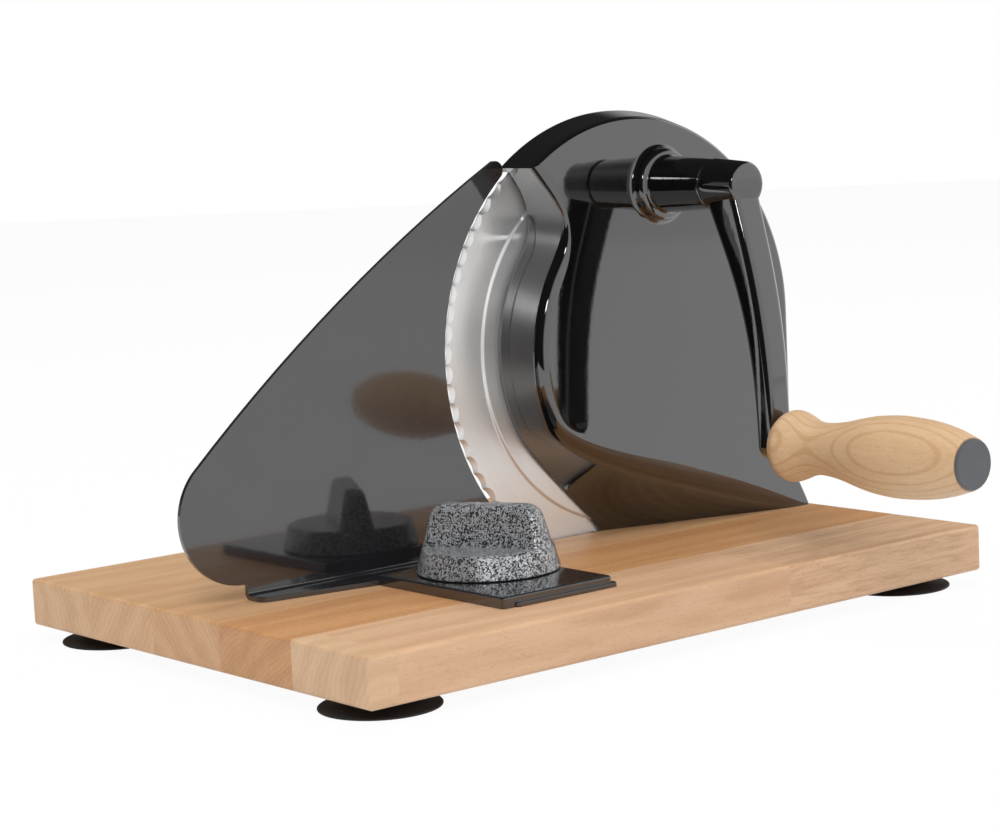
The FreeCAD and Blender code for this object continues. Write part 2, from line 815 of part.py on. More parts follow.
def make_gauge_plate():
    """The thickness gauge: an upright sheet bent forward into a flange and a tab."""
    low = board_top + glide_gap
    bend_z = low + bend_radius
    edge_radius = blade_radius + gauge_blade_gap
    left = board_left + gauge_left_inset
    corner_x = left + gauge_corner_radius
    corner_z = board_top + gauge_corner_above_board
    flange_left = corner_x + bend_radius / 2
    y = gauge_front_y
    tip_centre = on_circle(blade_x, blade_z, edge_radius + gauge_tip_radius, gauge_tip_angle, y)
    corner = on_circle(corner_x, corner_z, gauge_corner_radius, 135, y)
    tip_turn = gauge_tip_angle - 13
    shoulder = on_circle(tip_centre.x, tip_centre.z, gauge_tip_radius, tip_turn, y)
    middle = (shoulder + corner) / 2
    run = shoulder - corner
    bow = Vec(-run.z, 0, run.x).normalize() * gauge_bow
    rise = bend_z - blade_z
    right = blade_x - math.sqrt(edge_radius**2 - rise**2)
    right_angle = math.degrees(math.atan2(rise, right - blade_x)) % 360
    upright_sheet = face_of(
        [
            circle_arc(
                tip_centre.x, tip_centre.z, gauge_tip_radius, gauge_tip_angle - 180, tip_turn, y
            ),
            arc(shoulder, middle + bow, corner),
            circle_arc(corner_x, corner_z, gauge_corner_radius, 135, 270, y),
            line(
                on_circle(corner_x, corner_z, gauge_corner_radius, 270, y),
                upright(flange_left, corner_z - gauge_corner_radius, y),
            ),
            line(upright(flange_left, corner_z - gauge_corner_radius, y), upright(flange_left, bend_z, y)),
            line(upright(flange_left, bend_z, y), upright(right, bend_z, y)),
            circle_arc(blade_x, blade_z, edge_radius, right_angle, gauge_tip_angle, y),
        ]
    ).extrude(Vec(0, gauge_sheet, 0))
    bend_y = gauge_back_y - bend_radius
    bend = Part.makeCylinder(
        bend_radius, right - flange_left, Vec(flange_left, bend_y, bend_z), Vec(1, 0, 0)
    ).cut(
        Part.makeCylinder(
            bend_radius - gauge_sheet, right - flange_left, Vec(flange_left, bend_y, bend_z), Vec(1, 0, 0)
        )
    )
    bend = bend.common(box(flange_left, right, bend_y, gauge_back_y, low, bend_z))
    flat = flat_plate(
        [
            (flange_left, bend_y),
            (flange_left, gauge_front_y - flange_left_depth),
            (tab_left, gauge_front_y - flange_right_depth),
            (tab_left, tab_front_y),
            (tab_left + tab_width, tab_front_y),
            (tab_left + tab_width, gauge_front_y - flange_right_depth),
            (right, gauge_front_y - flange_left_depth),
            (right, bend_y),
        ],
        low,
        low + gauge_sheet,
    )
    gauge = upright_sheet.fuse([bend, flat]).removeSplitter()
    return gauge.cut(travel_slot(low - 1, low + gauge_sheet + 1))


def make_tab_cover():
    """The folded cover on the tab, with skirts down its sides and a lip at the front."""
    top = cover_top
    under = board_top + glide_gap + gauge_sheet
    x_from = tab_left - cover_skirt
    x_to = tab_left + tab_width + cover_skirt
    y_from = tab_front_y - cover_skirt
    y_to = gauge_front_y - flange_right_depth
    low = board_top + 2 * glide_gap
    cover = box(x_from, x_to, y_from, y_to, low, top)
    corners = edges_where(
        cover,
        lambda edge: edge.BoundBox.ZLength > 1 and abs(edge.BoundBox.YMin - y_from) < 0.01,
    )
    cover = cover.makeFillet(cover_skirt, corners)
    lip = box(x_from + cover_notch, x_to + cover_skirt, y_from - cover_skirt, y_to, low, low + cover_lip)
    lip_corners = edges_where(
        lip,
        lambda edge: edge.BoundBox.ZLength > 1 and edge.BoundBox.YMin < y_from and edge.BoundBox.XMin > x_to,
    )
    lip = lip.makeFillet(cover_skirt, lip_corners)
    cover = cover.fuse(lip)
    cover = cover.cut(box(tab_left, tab_left + tab_width, tab_front_y, y_to + 1, low - 1, under))
    return cover.cut(travel_slot(low - 1, top + 1))


def make_knob():
    """The clamp knob: a conical skirt and a tapered wing whose ends follow the same cone."""
    x = knob_x
    y = knob_y
    z = knob_bottom
    top = z + knob_height
    skirt_top = z + knob_skirt_height
    lean = math.atan2(knob_radius - knob_top_radius, knob_height)
    reach = knob_shoulder_radius * math.tan((math.pi / 2 - lean) / 2)
    shoulder_z = top - knob_shoulder_radius

    def cone(inset):
        shoulder_x = x + knob_top_radius - reach - inset
        foot = Vec(x + knob_radius - inset, y, z)

        def shoulder(angle):
            return Vec(
                shoulder_x + knob_shoulder_radius * math.cos(angle),
                y,
                shoulder_z + knob_shoulder_radius * math.sin(angle),
            )

        profile = face_of(
            [
                line(Vec(x, y, z), foot),
                line(foot, shoulder(lean)),
                arc(shoulder(lean), shoulder(lean / 2 + math.pi / 4), Vec(shoulder_x, y, top)),
                line(Vec(shoulder_x, y, top), Vec(x, y, top)),
                line(Vec(x, y, top), Vec(x, y, z)),
            ]
        )
        return profile.revolve(Vec(x, y, 0), Vec(0, 0, 1), 360)

    skirt = cone(0).common(rod_z(x, y, 2 * knob_radius, z, skirt_top))
    skirt = round_edges(
        skirt, knob_skirt_edge_radius, lambda edge: edge.BoundBox.ZMin > skirt_top - 0.01
    )

    def section(thickness, height):
        corners = [
            Vec(x + side_x * knob_radius, y + side_y * thickness / 2, height)
            for side_x, side_y in ((-1, -1), (1, -1), (1, 1), (-1, 1))
        ]
        return Part.makePolygon(corners + corners[:1])

    slab = Part.makeLoft([section(grip_foot_thickness, z), section(grip_top_thickness, top)], True, True)
    wing = slab.common(cone(grip_end_inset))
    wing = round_edges(wing, grip_corner_radius, lambda edge: edge.BoundBox.ZMax > z + knob_height / 2)
    wing.rotate(Vec(x, y, 0), Vec(0, 0, 1), grip_angle)
    knob = skirt.fuse(wing)
    hollow = rod_z(x, y, knob_radius - knob_hollow_wall, z - 1, skirt_top - knob_hollow_wall)
    hollow = hollow.cut(rod_z(x, y, knob_nut_radius + knob_nut_wall, z - 1, skirt_top))
    knob = knob.cut(hollow)
    return knob.cut(rod_z(x, y, knob_nut_radius, z - 1, z + knob_nut_length))


def make_knob_nut():
    nut = rod_z(knob_x, knob_y, knob_nut_radius, knob_bottom, knob_bottom + knob_nut_length)
    return nut.cut(rod_z(knob_x, knob_y, stud_radius + running_fit, knob_bottom - 1, knob_bottom + 2 * knob_nut_length))


def make_stud():
    return rod_z(knob_x, knob_y, stud_radius, board_top - insert_length, knob_bottom + knob_nut_length - 1)


def make_insert():
    """The threaded insert in the board for the stud."""
    insert = rod_z(knob_x, knob_y, insert_radius, board_top - insert_length, board_top)
    return insert.cut(rod_z(knob_x, knob_y, stud_radius, board_top - insert_length, board_top))


def foot_places():
    places = []
    for side_x in (-1, 1):
        for side_y in (-1, 1):
            x = board_x + side_x * (board_length / 2 - foot_inset_x)
            y = board_y + side_y * (board_width / 2 - foot_inset_y)
            places.append((x, y))
    return places


def make_foot(x, y):
    """A flared rubber suction foot round its screw."""
    neck = foot_neck_radius
    seat = foot_skin + foot_floor

    def at(radius, z):
        return Vec(x + radius, y, z)

    outside = bezier(
        [
            at(foot_radius, foot_skin / 2),
            at(foot_radius * 0.75, foot_skin),
            at(neck + 1.5, foot_height * 0.55),
            at(neck, foot_height),
        ]
    )
    profile = face_of(
        [
            line(at(foot_screw_radius, seat), at(foot_screw_radius, foot_height)),
            line(at(foot_screw_radius, foot_height), at(neck, foot_height)),
            bezier(list(reversed(outside.Curve.getPoles()))),
            line(at(foot_radius, foot_skin / 2), at(foot_radius, 0)),
            line(at(foot_radius, 0), at(foot_radius - foot_rim_width, 0)),
            line(at(foot_radius - foot_rim_width, 0), at(foot_screw_head_radius + 1, seat)),
            line(at(foot_screw_head_radius + 1, seat), at(foot_screw_radius, seat)),
        ]
    )
    return profile.revolve(Vec(x, y, 0), Vec(0, 0, 1), 360)


def make_foot_screw(x, y):
    seat = foot_skin + foot_floor
    head = rod_z(x, y, foot_screw_head_radius, seat - foot_screw_head_height, seat)
    return head.fuse(rod_z(x, y, foot_screw_radius, seat, seat + foot_screw_length))


def make_casting_screw(x, y):
    head_top = board_bottom + casting_screw_head_height
    head = rod_z(x, y, casting_screw_head_radius, board_bottom, head_top)
    return head.fuse(rod_z(x, y, casting_screw_radius, head_top, board_top + casting_screw_reach))


def make_board():
    """The whole board with its rounded edges, its slot and its holes."""
    board = box(
        board_left,
        board_right,
        board_front,
        board_front + board_width,
        board_bottom,
        board_top,
    )
    board = board.makeFillet(board_edge_radius, board.Edges)
    half = math.sqrt(blade_radius**2 - blade_above_board**2) + blade_slot_end_gap
    slot = box(
        blade_x - half,
        blade_x + half,
        blade_y - blade_slot_side_gap,
        blade_back_y + blade_slot_side_gap,
        board_bottom - 1,
        board_top + 1,
    )
    board = board.cut(slot)
    for x, y in foot_places():
        board = board.cut(make_foot_screw(x, y))
    for x, y in casting_screw_places():
        board = board.cut(make_casting_screw(x, y))
    return board.cut(rod_z(knob_x, knob_y, insert_radius, board_top - insert_length, board_top + 1))


def cut_staves(board):
    """Cut the board along its glue lines; the front stave is joined from three lengths."""
    stave_width = board_width / stave_count
    staves = []
    for i in range(stave_count):
        y_from = board_front + i * stave_width
        y_to = y_from + stave_width
        cuts = [board_left, board_right]
        if i == 0:
            cuts = [
                board_left,
                board_left + end_block_length,
                board_left + front_joint_from_left,
                board_right,
            ]
        for k in range(len(cuts) - 1):
            part = box(cuts[k], cuts[k + 1], y_from, y_to, board_bottom, board_top)
            staves.append(board.common(part))
    return staves


def grouped(shapes):
    return Part.makeCompound(shapes)


def main():
    names = [
        "board_end_block",
        "board_front_stave",
        "board_front_stave_right",
        "board_second_stave",
        "board_middle_stave",
        "board_fourth_stave",
        "board_rear_stave",
    ]
    for name, stave in zip(names, cut_staves(make_board())):
        save(name, stave)
    save("casting", make_casting())
    save("blade", make_blade())
    save("blade_wheel", make_wheel())
    save("blade_bush", make_blade_bush())
    rivets = [rod_y(x, z, rivet_radius, wheel_front_y, blade_face_y + blade_thickness) for x, z in rivet_places()]
    save("blade_rivets", grouped(rivets))
    save("blade_axle", make_axle())
    screw, slot = make_cap_screw()
    cap = rod_y(blade_x, blade_z, cap_radius, cap_front_y, cap_back_y)
    cap = round_edges(cap, cap_thickness / 3, lambda edge: abs(edge.BoundBox.YMin - cap_back_y) < 0.01)
    save("blade_cap", cap.cut(screw))
    save("blade_cap_screw", screw.cut(slot))
    save("crank_pinion", make_pinion())
    save("crank_shaft", make_crank_shaft())
    save("crank_inner_bush", make_inner_bush())
    save("crank_outer_bush", make_outer_bush())
    save("crank_arm", make_crank_arm())
    save("crank_grub_screw", grub_screw())
    save("handle_spindle", make_spindle())
    save("handle_washer", make_handle_washer())
    save("handle_grip", make_handle())
    save("handle_end_cap", make_handle_cap())
    save("gauge_plate", make_gauge_plate())
    save("gauge_tab_cover", make_tab_cover())
    save("clamp_knob", make_knob())
    save("clamp_knob_nut", make_knob_nut())
    save("clamp_stud", make_stud())
    save("clamp_insert", make_insert())
    for i, (x, y) in enumerate(foot_places()):
        save("foot_" + str(i + 1), make_foot(x, y))
    save("foot_screws", grouped([make_foot_screw(x, y) for x, y in foot_places()]))
    save("casting_screws", grouped([make_casting_screw(x, y) for x, y in casting_screw_places()]))


main()
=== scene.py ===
"""Looks of the hand cranked bread slicer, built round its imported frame.

Every piece is in metres in the frame's own axes: X along the board, Y away from the
crank handle, Z up from the floor.
"""

import logging
import math
from dataclasses import dataclass
from enum import Enum
from typing import Callable, Iterable

import bmesh
import bpy
from bmesh.types import BMEdge, BMesh, BMVert
from bpy.types import Material, Node, NodeSocket, NodeTree, Object
from mathutils import Matrix, Vector


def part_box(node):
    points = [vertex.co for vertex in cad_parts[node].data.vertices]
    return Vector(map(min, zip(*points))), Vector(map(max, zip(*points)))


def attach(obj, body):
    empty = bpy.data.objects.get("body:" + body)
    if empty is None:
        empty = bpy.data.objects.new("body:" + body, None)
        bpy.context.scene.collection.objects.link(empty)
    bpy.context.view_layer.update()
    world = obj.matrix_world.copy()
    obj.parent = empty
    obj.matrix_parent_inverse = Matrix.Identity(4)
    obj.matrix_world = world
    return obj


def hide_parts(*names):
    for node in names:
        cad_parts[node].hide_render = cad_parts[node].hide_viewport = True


log = logging.getLogger("slicer")

MM = 0.001
SAME_PLACE = 1e-6
Y_AXIS = Vector((0, 1, 0))
Z_AXIS = Vector((0, 0, 1))
Point = tuple[float, float]
Place = tuple[float, float, float]
Colour = tuple[float, float, float]
Ring = list[BMVert]


# Shader language


class Value:
    """A number that varies over a surface, used in plain arithmetic."""

    def __init__(self, shader: "Shader", socket: NodeSocket) -> None:
        """Keep the socket and the shader it belongs to."""
        self.shader = shader
        self.socket = socket

    def _maths(self, operation: str, *operands: object) -> "Value":
        """Add one Math node.

        Args:
            operation: The Math node's operation.
            operands: Values or numbers, in the node's order.

        Returns:
            The node's result.
        """
        inputs = dict(enumerate(operands))
        node = self.shader.node("ShaderNodeMath", {"operation": operation}, inputs)
        return Value(self.shader, node.outputs[0])

    def __add__(self, other: object) -> "Value":
        """Add."""
        return self._maths("ADD", self, other)

    __radd__ = __add__

    def __sub__(self, other: object) -> "Value":
        """Subtract."""
        return self._maths("SUBTRACT", self, other)

    def __rsub__(self, other: object) -> "Value":
        """Subtract from."""
        return self._maths("SUBTRACT", other, self)

    def __mul__(self, other: object) -> "Value":
        """Multiply."""
        return self._maths("MULTIPLY", self, other)

    __rmul__ = __mul__

    def above(self, low: float, high: float) -> "Value":
        """Rise smoothly from 0 at low to 1 at high.

        Args:
            low: Where the result is 0.
            high: Where the result is 1.

        Returns:
            The smooth step.
        """
        node = self.shader.node(
            "ShaderNodeMapRange",
            {"interpolation_type": "SMOOTHSTEP"},
            {"Value": self, "From Min": low, "From Max": high},
        )
        return Value(self.shader, node.outputs[0])

    def wave(self) -> "Value":
        """The sine of the value."""
        return self._maths("SINE", self)

    def root(self) -> "Value":
        """The square root."""
        return self._maths("SQRT", self)


class Shader:
    """One material and the nodes in it."""

    def __init__(self, name: str) -> None:
        """Start an empty material with one glossy shader.

        Args:
            name: The finish's name.
        """
        self.material = bpy.data.materials.new(name)
        self.material.use_nodes = True
        self.tree = self.material.node_tree
        self.tree.nodes.clear()
        self.surface = self.tree.nodes.new("ShaderNodeBsdfPrincipled")
        self.output = self.tree.nodes.new("ShaderNodeOutputMaterial")
        self.tree.links.new(self.surface.outputs[0], self.output.inputs["Surface"])
        self._place: NodeSocket | None = None

    @classmethod
    def over(cls, tree: NodeTree) -> "Shader":
        """Work in a tree that is there already, such as a world's."""
        shader = cls.__new__(cls)
        shader.tree = tree
        shader._place = None
        return shader

    def node(self, kind: str, settings: dict | None = None, inputs: dict | None = None) -> Node:
        """Add one node.

        Args:
            kind: The node's type.
            settings: Its own settings, set first; "stops" holds a ramp's stops.
            inputs: Numbers, colours, sockets or values, by socket name or place.

        Returns:
            The new node.
        """
        node = self.tree.nodes.new(kind)
        for key, value in (settings or {}).items():
            if key == "stops":
                self._stops(node, value)
            else:
                setattr(node, key, value)
        for key, value in (inputs or {}).items():
            self.feed(node.inputs[key], value)
        return node

    @staticmethod
    def _stops(node: Node, stops: list[tuple[float, Colour]]) -> None:
        """Set a colour ramp's stops."""
        ramp = node.color_ramp.elements
        while len(ramp) < len(stops):
            ramp.new(1.0)
        for element, (place, colour) in zip(ramp, stops):
            element.position = place
            element.color = (*colour, 1.0)

    def feed(self, socket: NodeSocket, value: object) -> None:
        """Link a value to a socket, or set the socket."""
        if isinstance(value, Value):
            self.tree.links.new(value.socket, socket)
        elif isinstance(value, NodeSocket):
            self.tree.links.new(value, socket)
        elif isinstance(value, tuple) and len(value) == 3 and socket.type == "RGBA":
            socket.default_value = (*value, 1.0)
        else:
            socket.default_value = value

    def place(
        self, scale: Place = (1, 1, 1), shift: Place = (0, 0, 0), turn: Place = (0, 0, 0)
    ) -> NodeSocket:
        """The point of the surface, in metres, shifted, turned and scaled.

        Args:
            scale: Scale along each axis, put on last.
            shift: The point that becomes the origin.
            turn: Turn round each axis in radians.

        Returns:
            A vector socket.
        """
        if self._place is None:
            self._place = self.node("ShaderNodeTexCoord").outputs["Object"]
        moved = self.node(
            "ShaderNodeVectorMath", {"operation": "SUBTRACT"}, {0: self._place, 1: shift}
        ).outputs[0]
        if any(turn):
            inputs = {"Vector": moved, "Rotation": turn}
            moved = self.node("ShaderNodeVectorRotate", {"rotation_type": "EULER_XYZ"}, inputs).outputs[0]
        inputs = {0: moved, 1: scale}
        return self.node("ShaderNodeVectorMath", {"operation": "MULTIPLY"}, inputs).outputs[0]

    def axes(self, vector: NodeSocket) -> tuple[Value, Value, Value]:
        """Split a vector in three values."""
        node = self.node("ShaderNodeSeparateXYZ", None, {0: vector})
        return tuple(Value(self, out) for out in node.outputs)

    def noise(
        self, vector: NodeSocket, scale: float, detail: float = 2.0, rough: float = 0.5
    ) -> Value:
        """Cloudy noise.

        Args:
            vector: Where to read it.
            scale: Clouds per metre.
            detail: Finer layers.
            rough: Strength of the finer layers.

        Returns:
            The noise, from 0 to 1.
        """
        inputs = {"Vector": vector, "Scale": scale, "Detail": detail, "Roughness": rough}
        node = self.node("ShaderNodeTexNoise", None, inputs)
        return Value(self, node.outputs[0])

    def cells(self, vector: NodeSocket, scale: float) -> Value:
        """The distance to the nearest cell centre."""
        node = self.node("ShaderNodeTexVoronoi", None, {"Vector": vector, "Scale": scale})
        return Value(self, node.outputs["Distance"])

    def mix(self, amount: object, first: object, second: object) -> NodeSocket:
        """Mix two colours.

        Args:
            amount: How much of the second.
            first: A colour or its socket.
            second: A colour or its socket.

        Returns:
            The mixed colour's socket.
        """
        node = self.node("ShaderNodeMix", {"data_type": "RGBA"})
        self.feed(node.inputs[0], amount)
        self.feed(node.inputs[6], first)
        self.feed(node.inputs[7], second)
        return node.outputs[2]

    def bump(self, height: Value, distance: float, strength: float = 1.0) -> NodeSocket:
        """A bumped normal.

        Args:
            height: The height, from 0 to 1.
            distance: The full height in metres.
            strength: How much of it shows.

        Returns:
            The normal's socket.
        """
        inputs = {"Strength": strength, "Distance": distance, "Height": height}
        node = self.node("ShaderNodeBump", None, inputs)
        return node.outputs[0]

    def finish(self, **sockets: object) -> Material:
        """Feed the glossy shader's sockets, named with underscores for blanks.

        Args:
            sockets: Values by socket name.

        Returns:
            The finished material.
        """
        for key, value in sockets.items():
            self.feed(self.surface.inputs[key.replace("_", " ")], value)
        return self.material


# Finishes


class Figure(Enum):
    """How a piece of beech was cut."""

    BOARD = "board"
    TURNED = "turned"


def shaded(colour: Colour, *shares: float) -> Colour:
    """A colour made darker or lighter, by one share or by one for each channel."""
    return tuple(c * share for c, share in zip(colour, shares * 3))


@dataclass(frozen=True)
class Finish:
    """A surface made of nodes alone."""

    name: str

    def material(self) -> Material:
        """Build the finish.

        Returns:
            The material.
        """
        shader = Shader(self.name)
        return shader.finish(**self.sockets(shader))

    def sockets(self, s: Shader) -> dict[str, object]:
        """Lay out the finish.

        Args:
            s: The shader to work in.

        Returns:
            What the glossy shader's sockets get, by name with underscores for blanks.
        """
        raise NotImplementedError


@dataclass(frozen=True)
class Beech(Finish):
    """Oiled beech with short dark flecks along its grain."""

    tone: Colour
    shade: Colour
    figure: Figure = Figure.BOARD
    shift: Place = (0.0, 0.0, 0.0)
    heart: float = 0.0
    lean: float = 0.45
    dash: float = 0.34

    def sockets(self, s: Shader) -> dict[str, object]:
        """Lay out the wood."""
        along = (0, 0, 0) if self.figure is Figure.BOARD else (0, 0, math.pi / 2)

        def squeezed(across: float) -> NodeSocket:
            """The place in the wood, squeezed across the grain."""
            return s.place(scale=(1, across, across), shift=self.shift, turn=along)

        warp = s.noise(squeezed(5), 9, 2)
        x, y, z = s.axes(squeezed(1))
        if self.figure is Figure.BOARD:
            growth = y + z * self.lean
            rings = ((growth + warp * 0.035) * 330).wave() + ((growth + warp * 0.012) * 1900).wave() * 0.7
        else:
            depth = y * -0.95 + z * 0.28 + x * 0.05
            rings = ((depth + warp * 0.0012) * 2100).wave().above(0.55, 1.0) * 2.2
        streaks = s.noise(squeezed(12), 55, 5, 0.62)
        clouds = s.noise(squeezed(3), 14, 3)
        flecks = s.noise(squeezed(7), 330, 2, 0.5).above(0.60, 0.70)
        pores = s.noise(squeezed(9), 700, 1, 0.5).above(0.62, 0.72)
        amount = rings * 0.16 + streaks * 0.55 + clouds * 0.5 - 0.05
        colour = s.mix(amount.above(0.0, 1.0), self.tone, self.shade)
        dark = shaded(self.shade, 0.62, 0.50, 0.42)
        marks = flecks * self.dash + pores * 0.22 + self.heart * streaks.above(0.45, 0.62)
        colour = s.mix(marks, colour, dark)
        height = streaks * 0.4 - pores * 0.6
        return dict(
            Base_Color=colour,
            Roughness=0.36 + streaks * 0.12,
            Specular_IOR_Level=0.5,
            Normal=s.bump(height, 0.00012, 0.5),
        )


@dataclass(frozen=True)
class Enamel(Finish):
    """Thick glossy enamel with a faint orange peel."""

    colour: Colour = (0.003, 0.003, 0.0032)
    peel: float = 0.00002

    def sockets(self, s: Shader) -> dict[str, object]:
        """Lay out the enamel."""
        place = s.place()
        swell = s.noise(place, 60, 2)
        grit = s.noise(place, 420, 3, 0.6)
        dust = s.cells(place, 150).above(0.16, 0.05) * s.noise(place, 25, 2).above(0.5, 0.62)
        depth = swell * 0.6 + grit * 0.40 + dust * 0.25
        tint = s.mix(s.noise(place, 30, 3), self.colour, shaded(self.colour, 1.5))
        return dict(
            Base_Color=tint,
            Roughness=0.03 + grit * 0.03,
            Specular_IOR_Level=1.0,
            Coat_Weight=1.0,
            Coat_Roughness=0.02,
            Coat_IOR=1.6,
            Normal=s.bump(depth, self.peel * 6, 0.35),
        )


@dataclass(frozen=True)
class TurnedSteel(Finish):
    """Bright steel turned and brushed round an axis along Y."""

    centre: Place
    colour: Colour = (0.93, 0.925, 0.92)

    def sockets(self, s: Shader) -> dict[str, object]:
        """Lay out the steel."""
        x, _, z = s.axes(s.place(shift=self.centre))
        radius = (x * x + z * z).root()
        turn = s.node("ShaderNodeMath", {"operation": "ARCTAN2"}, {0: z, 1: x})
        angle = Value(s, turn.outputs[0])
        polar = s.node("ShaderNodeCombineXYZ", None, {0: radius * 900, 1: angle * 3.0, 2: 0.0}).outputs[0]
        broad = s.node("ShaderNodeCombineXYZ", None, {0: radius * 160, 1: angle * 2.2, 2: 3.0}).outputs[0]
        lines = s.noise(polar, 1.0, 3, 0.6)
        bands = s.noise(broad, 1.0, 3, 0.6)
        scratch = s.noise(polar, 3.0, 2, 0.7).above(0.66, 0.74)
        colour = s.mix(lines * 0.4 + bands * 0.5, self.colour, shaded(self.colour, 0.84))
        colour = s.mix(scratch * 0.3, colour, (0.35, 0.34, 0.33))
        return dict(
            Base_Color=colour,
            Metallic=0.7,
            Roughness=0.22 + bands * 0.12 + lines * 0.08,
            Normal=s.bump(lines, 0.00003, 0.35),
        )


@dataclass(frozen=True)
class Metal(Finish):
    """Plain machined or cast metal with faint tool marks."""

    colour: Colour
    rough: float = 0.3
    mark: float = 0.00003

    def sockets(self, s: Shader) -> dict[str, object]:
        """Lay out the metal."""
        place = s.place()
        grain = s.noise(place, 900, 3, 0.6)
        cloud = s.noise(place, 90, 2)
        colour = s.mix(cloud, self.colour, shaded(self.colour, 0.8))
        return dict(
            Base_Color=colour,
            Metallic=1.0,
            Roughness=self.rough + grain * 0.12,
            Normal=s.bump(grain, self.mark, 0.4),
        )


@dataclass(frozen=True)
class Lacquer(Finish):
    """Dark stoved lacquer on sheet steel."""

    colour: Colour = (0.012, 0.012, 0.0135)

    def sockets(self, s: Shader) -> dict[str, object]:
        """Lay out the lacquer."""
        place = s.place()
        swell = s.noise(place, 45, 2)
        grit = s.noise(place, 380, 3, 0.6)
        return dict(
            Base_Color=s.mix(swell, self.colour, shaded(self.colour, 1.6)),
            Roughness=0.05 + grit * 0.05,
            Specular_IOR_Level=0.9,
            Coat_Weight=0.9,
            Coat_Roughness=0.03,
            Normal=s.bump(swell * 0.5 + grit * 0.35, 0.0001, 0.35),
        )


@dataclass(frozen=True)
class Hammered(Finish):
    """Silver grey hammer lacquer: bright dots on a dark ground."""

    dark: Colour = (0.012, 0.013, 0.015)
    bright: Colour = (0.66, 0.68, 0.70)

    def sockets(self, s: Shader) -> dict[str, object]:
        """Lay out the hammer lacquer."""
        place = s.place()
        dots = s.noise(place, 1500, 2, 0.65)
        blots = s.noise(place, 600, 2, 0.5)
        sparkle = (dots * 0.75 + blots * 0.25).above(0.46, 0.57)
        return dict(
            Base_Color=s.mix(sparkle, self.dark, self.bright),
            Metallic=sparkle * 0.6,
            Roughness=0.30 - sparkle * 0.06,
            Specular_IOR_Level=0.6,
            Normal=s.bump(dots * 0.6 + blots * 0.4, 0.0004, 0.5),
        )


@dataclass(frozen=True)
class Moulded(Finish):
    """Moulded plastic or rubber with a fine skin."""

    colour: Colour
    rough: float = 0.45
    skin: float = 0.00004

    def sockets(self, s: Shader) -> dict[str, object]:
        """Lay out the moulding's skin."""
        place = s.place()
        fine = s.noise(place, 1200, 3, 0.6)
        cloud = s.noise(place, 80, 2)
        return dict(
            Base_Color=s.mix(cloud, self.colour, shaded(self.colour, 1.35)),
            Roughness=self.rough + fine * 0.15,
            Specular_IOR_Level=0.45,
            Normal=s.bump(fine, self.skin, 0.4),
        )


# Drawing and mesh helpers


class Sketch:
    """A line of Bezier stretches drawn in millimetres in X and Z, or in any two axes."""

    KAPPA_STEP = 60.0

    def __init__(self, start: Point) -> None:
        """Begin the line at a point."""
        self.knots: list[list[Point]] = [[start, start, start]]

    @property
    def end(self) -> Point:
        """Where the line has come to."""
        return self.knots[-1][1]

    def line(self, *points: Point) -> "Sketch":
        """Go straight from point to point."""
        for x, y in points:
            (from_x, from_y), run, rise = self.end, x - self.end[0], y - self.end[1]
            thirds = [(from_x + run * k / 3, from_y + rise * k / 3) for k in (1, 2)]
            self.curve(*thirds, (x, y))
        return self

    def curve(self, first: Point, second: Point, to: Point) -> "Sketch":
        """Go to a point along a Bezier stretch.

        Args:
            first: The handle at the stretch's start.
            second: The handle at its end.
            to: Where it ends.

        Returns:
            The sketch itself.
        """
        self.knots[-1][2] = first
        self.knots.append([second, to, to])
        return self

    def arc(self, centre: Point, radius: float, start: float, end: float, pieces: int = 0) -> "Sketch":
        """Go along a circle.

        Args:
            centre: The circle's centre.
            radius: Its radius.
            start: The start angle in degrees, where the line already is.
            end: The end angle.
            pieces: Into how many stretches to part it, or 0 for as few as are true.

        Returns:
            The sketch itself.
        """
        count = pieces or max(1, math.ceil(abs(end - start) / self.KAPPA_STEP))
        step = math.radians((end - start) / count)
        reach = 4 / 3 * math.tan(step / 4) * radius
        for i in range(count):
            a = math.radians(start) + i * step
            b = a + step
            pa = on_circle(centre, radius, math.degrees(a))
            pb = on_circle(centre, radius, math.degrees(b))
            first = (pa[0] - math.sin(a) * reach, pa[1] + math.cos(a) * reach)
            second = (pb[0] + math.sin(b) * reach, pb[1] - math.cos(b) * reach)
            self.curve(first, second, pb)
        return self

    def ring(
        self,
        bm: BMesh,
        to_space: Callable[[float, float], Vector],
        steps: int,
        closed: bool = True,
    ) -> Ring:
        """Lay the line into a mesh as a row of joined points.

        Args:
            bm: The mesh to add to.
            to_space: Turns the sketch's two millimetre axes into a point in metres.
            steps: Points in each stretch.
            closed: Whether the line comes back to its start.

        Returns:
            The new points in order.
        """
        knots = self.knots
        if closed:
            knots = [[knots[-1][0], *knots[0][1:]], *knots[1:-1]]
        data = bpy.data.curves.new("sketch", "CURVE")
        data.dimensions = "3D"
        data.resolution_u = steps
        spline = data.splines.new("BEZIER")
        spline.bezier_points.add(len(knots) - 1)
        spline.use_cyclic_u = closed
        for knot, (before, at, after) in zip(spline.bezier_points, knots):
            knot.handle_left_type = knot.handle_right_type = "FREE"
            knot.co = to_space(*at)
            knot.handle_left = to_space(*before)
            knot.handle_right = to_space(*after)
        holder = bpy.data.objects.new("sketch", data)
        mesh = bpy.data.meshes.new_from_object(holder)
        ring = [bm.verts.new(v.co) for v in mesh.vertices]
        for a, b in zip(ring, ring[1:] + ring[:1] if closed else ring[1:]):
            bm.edges.new((a, b))
        bpy.data.objects.remove(holder)
        bpy.data.curves.remove(data)
        bpy.data.meshes.remove(mesh)
        return ring


def on_circle(centre: Point, radius: float, degrees: float) -> Point:
    """The point of a circle at an angle."""
    angle = math.radians(degrees)
    return (centre[0] + radius * math.cos(angle), centre[1] + radius * math.sin(angle))


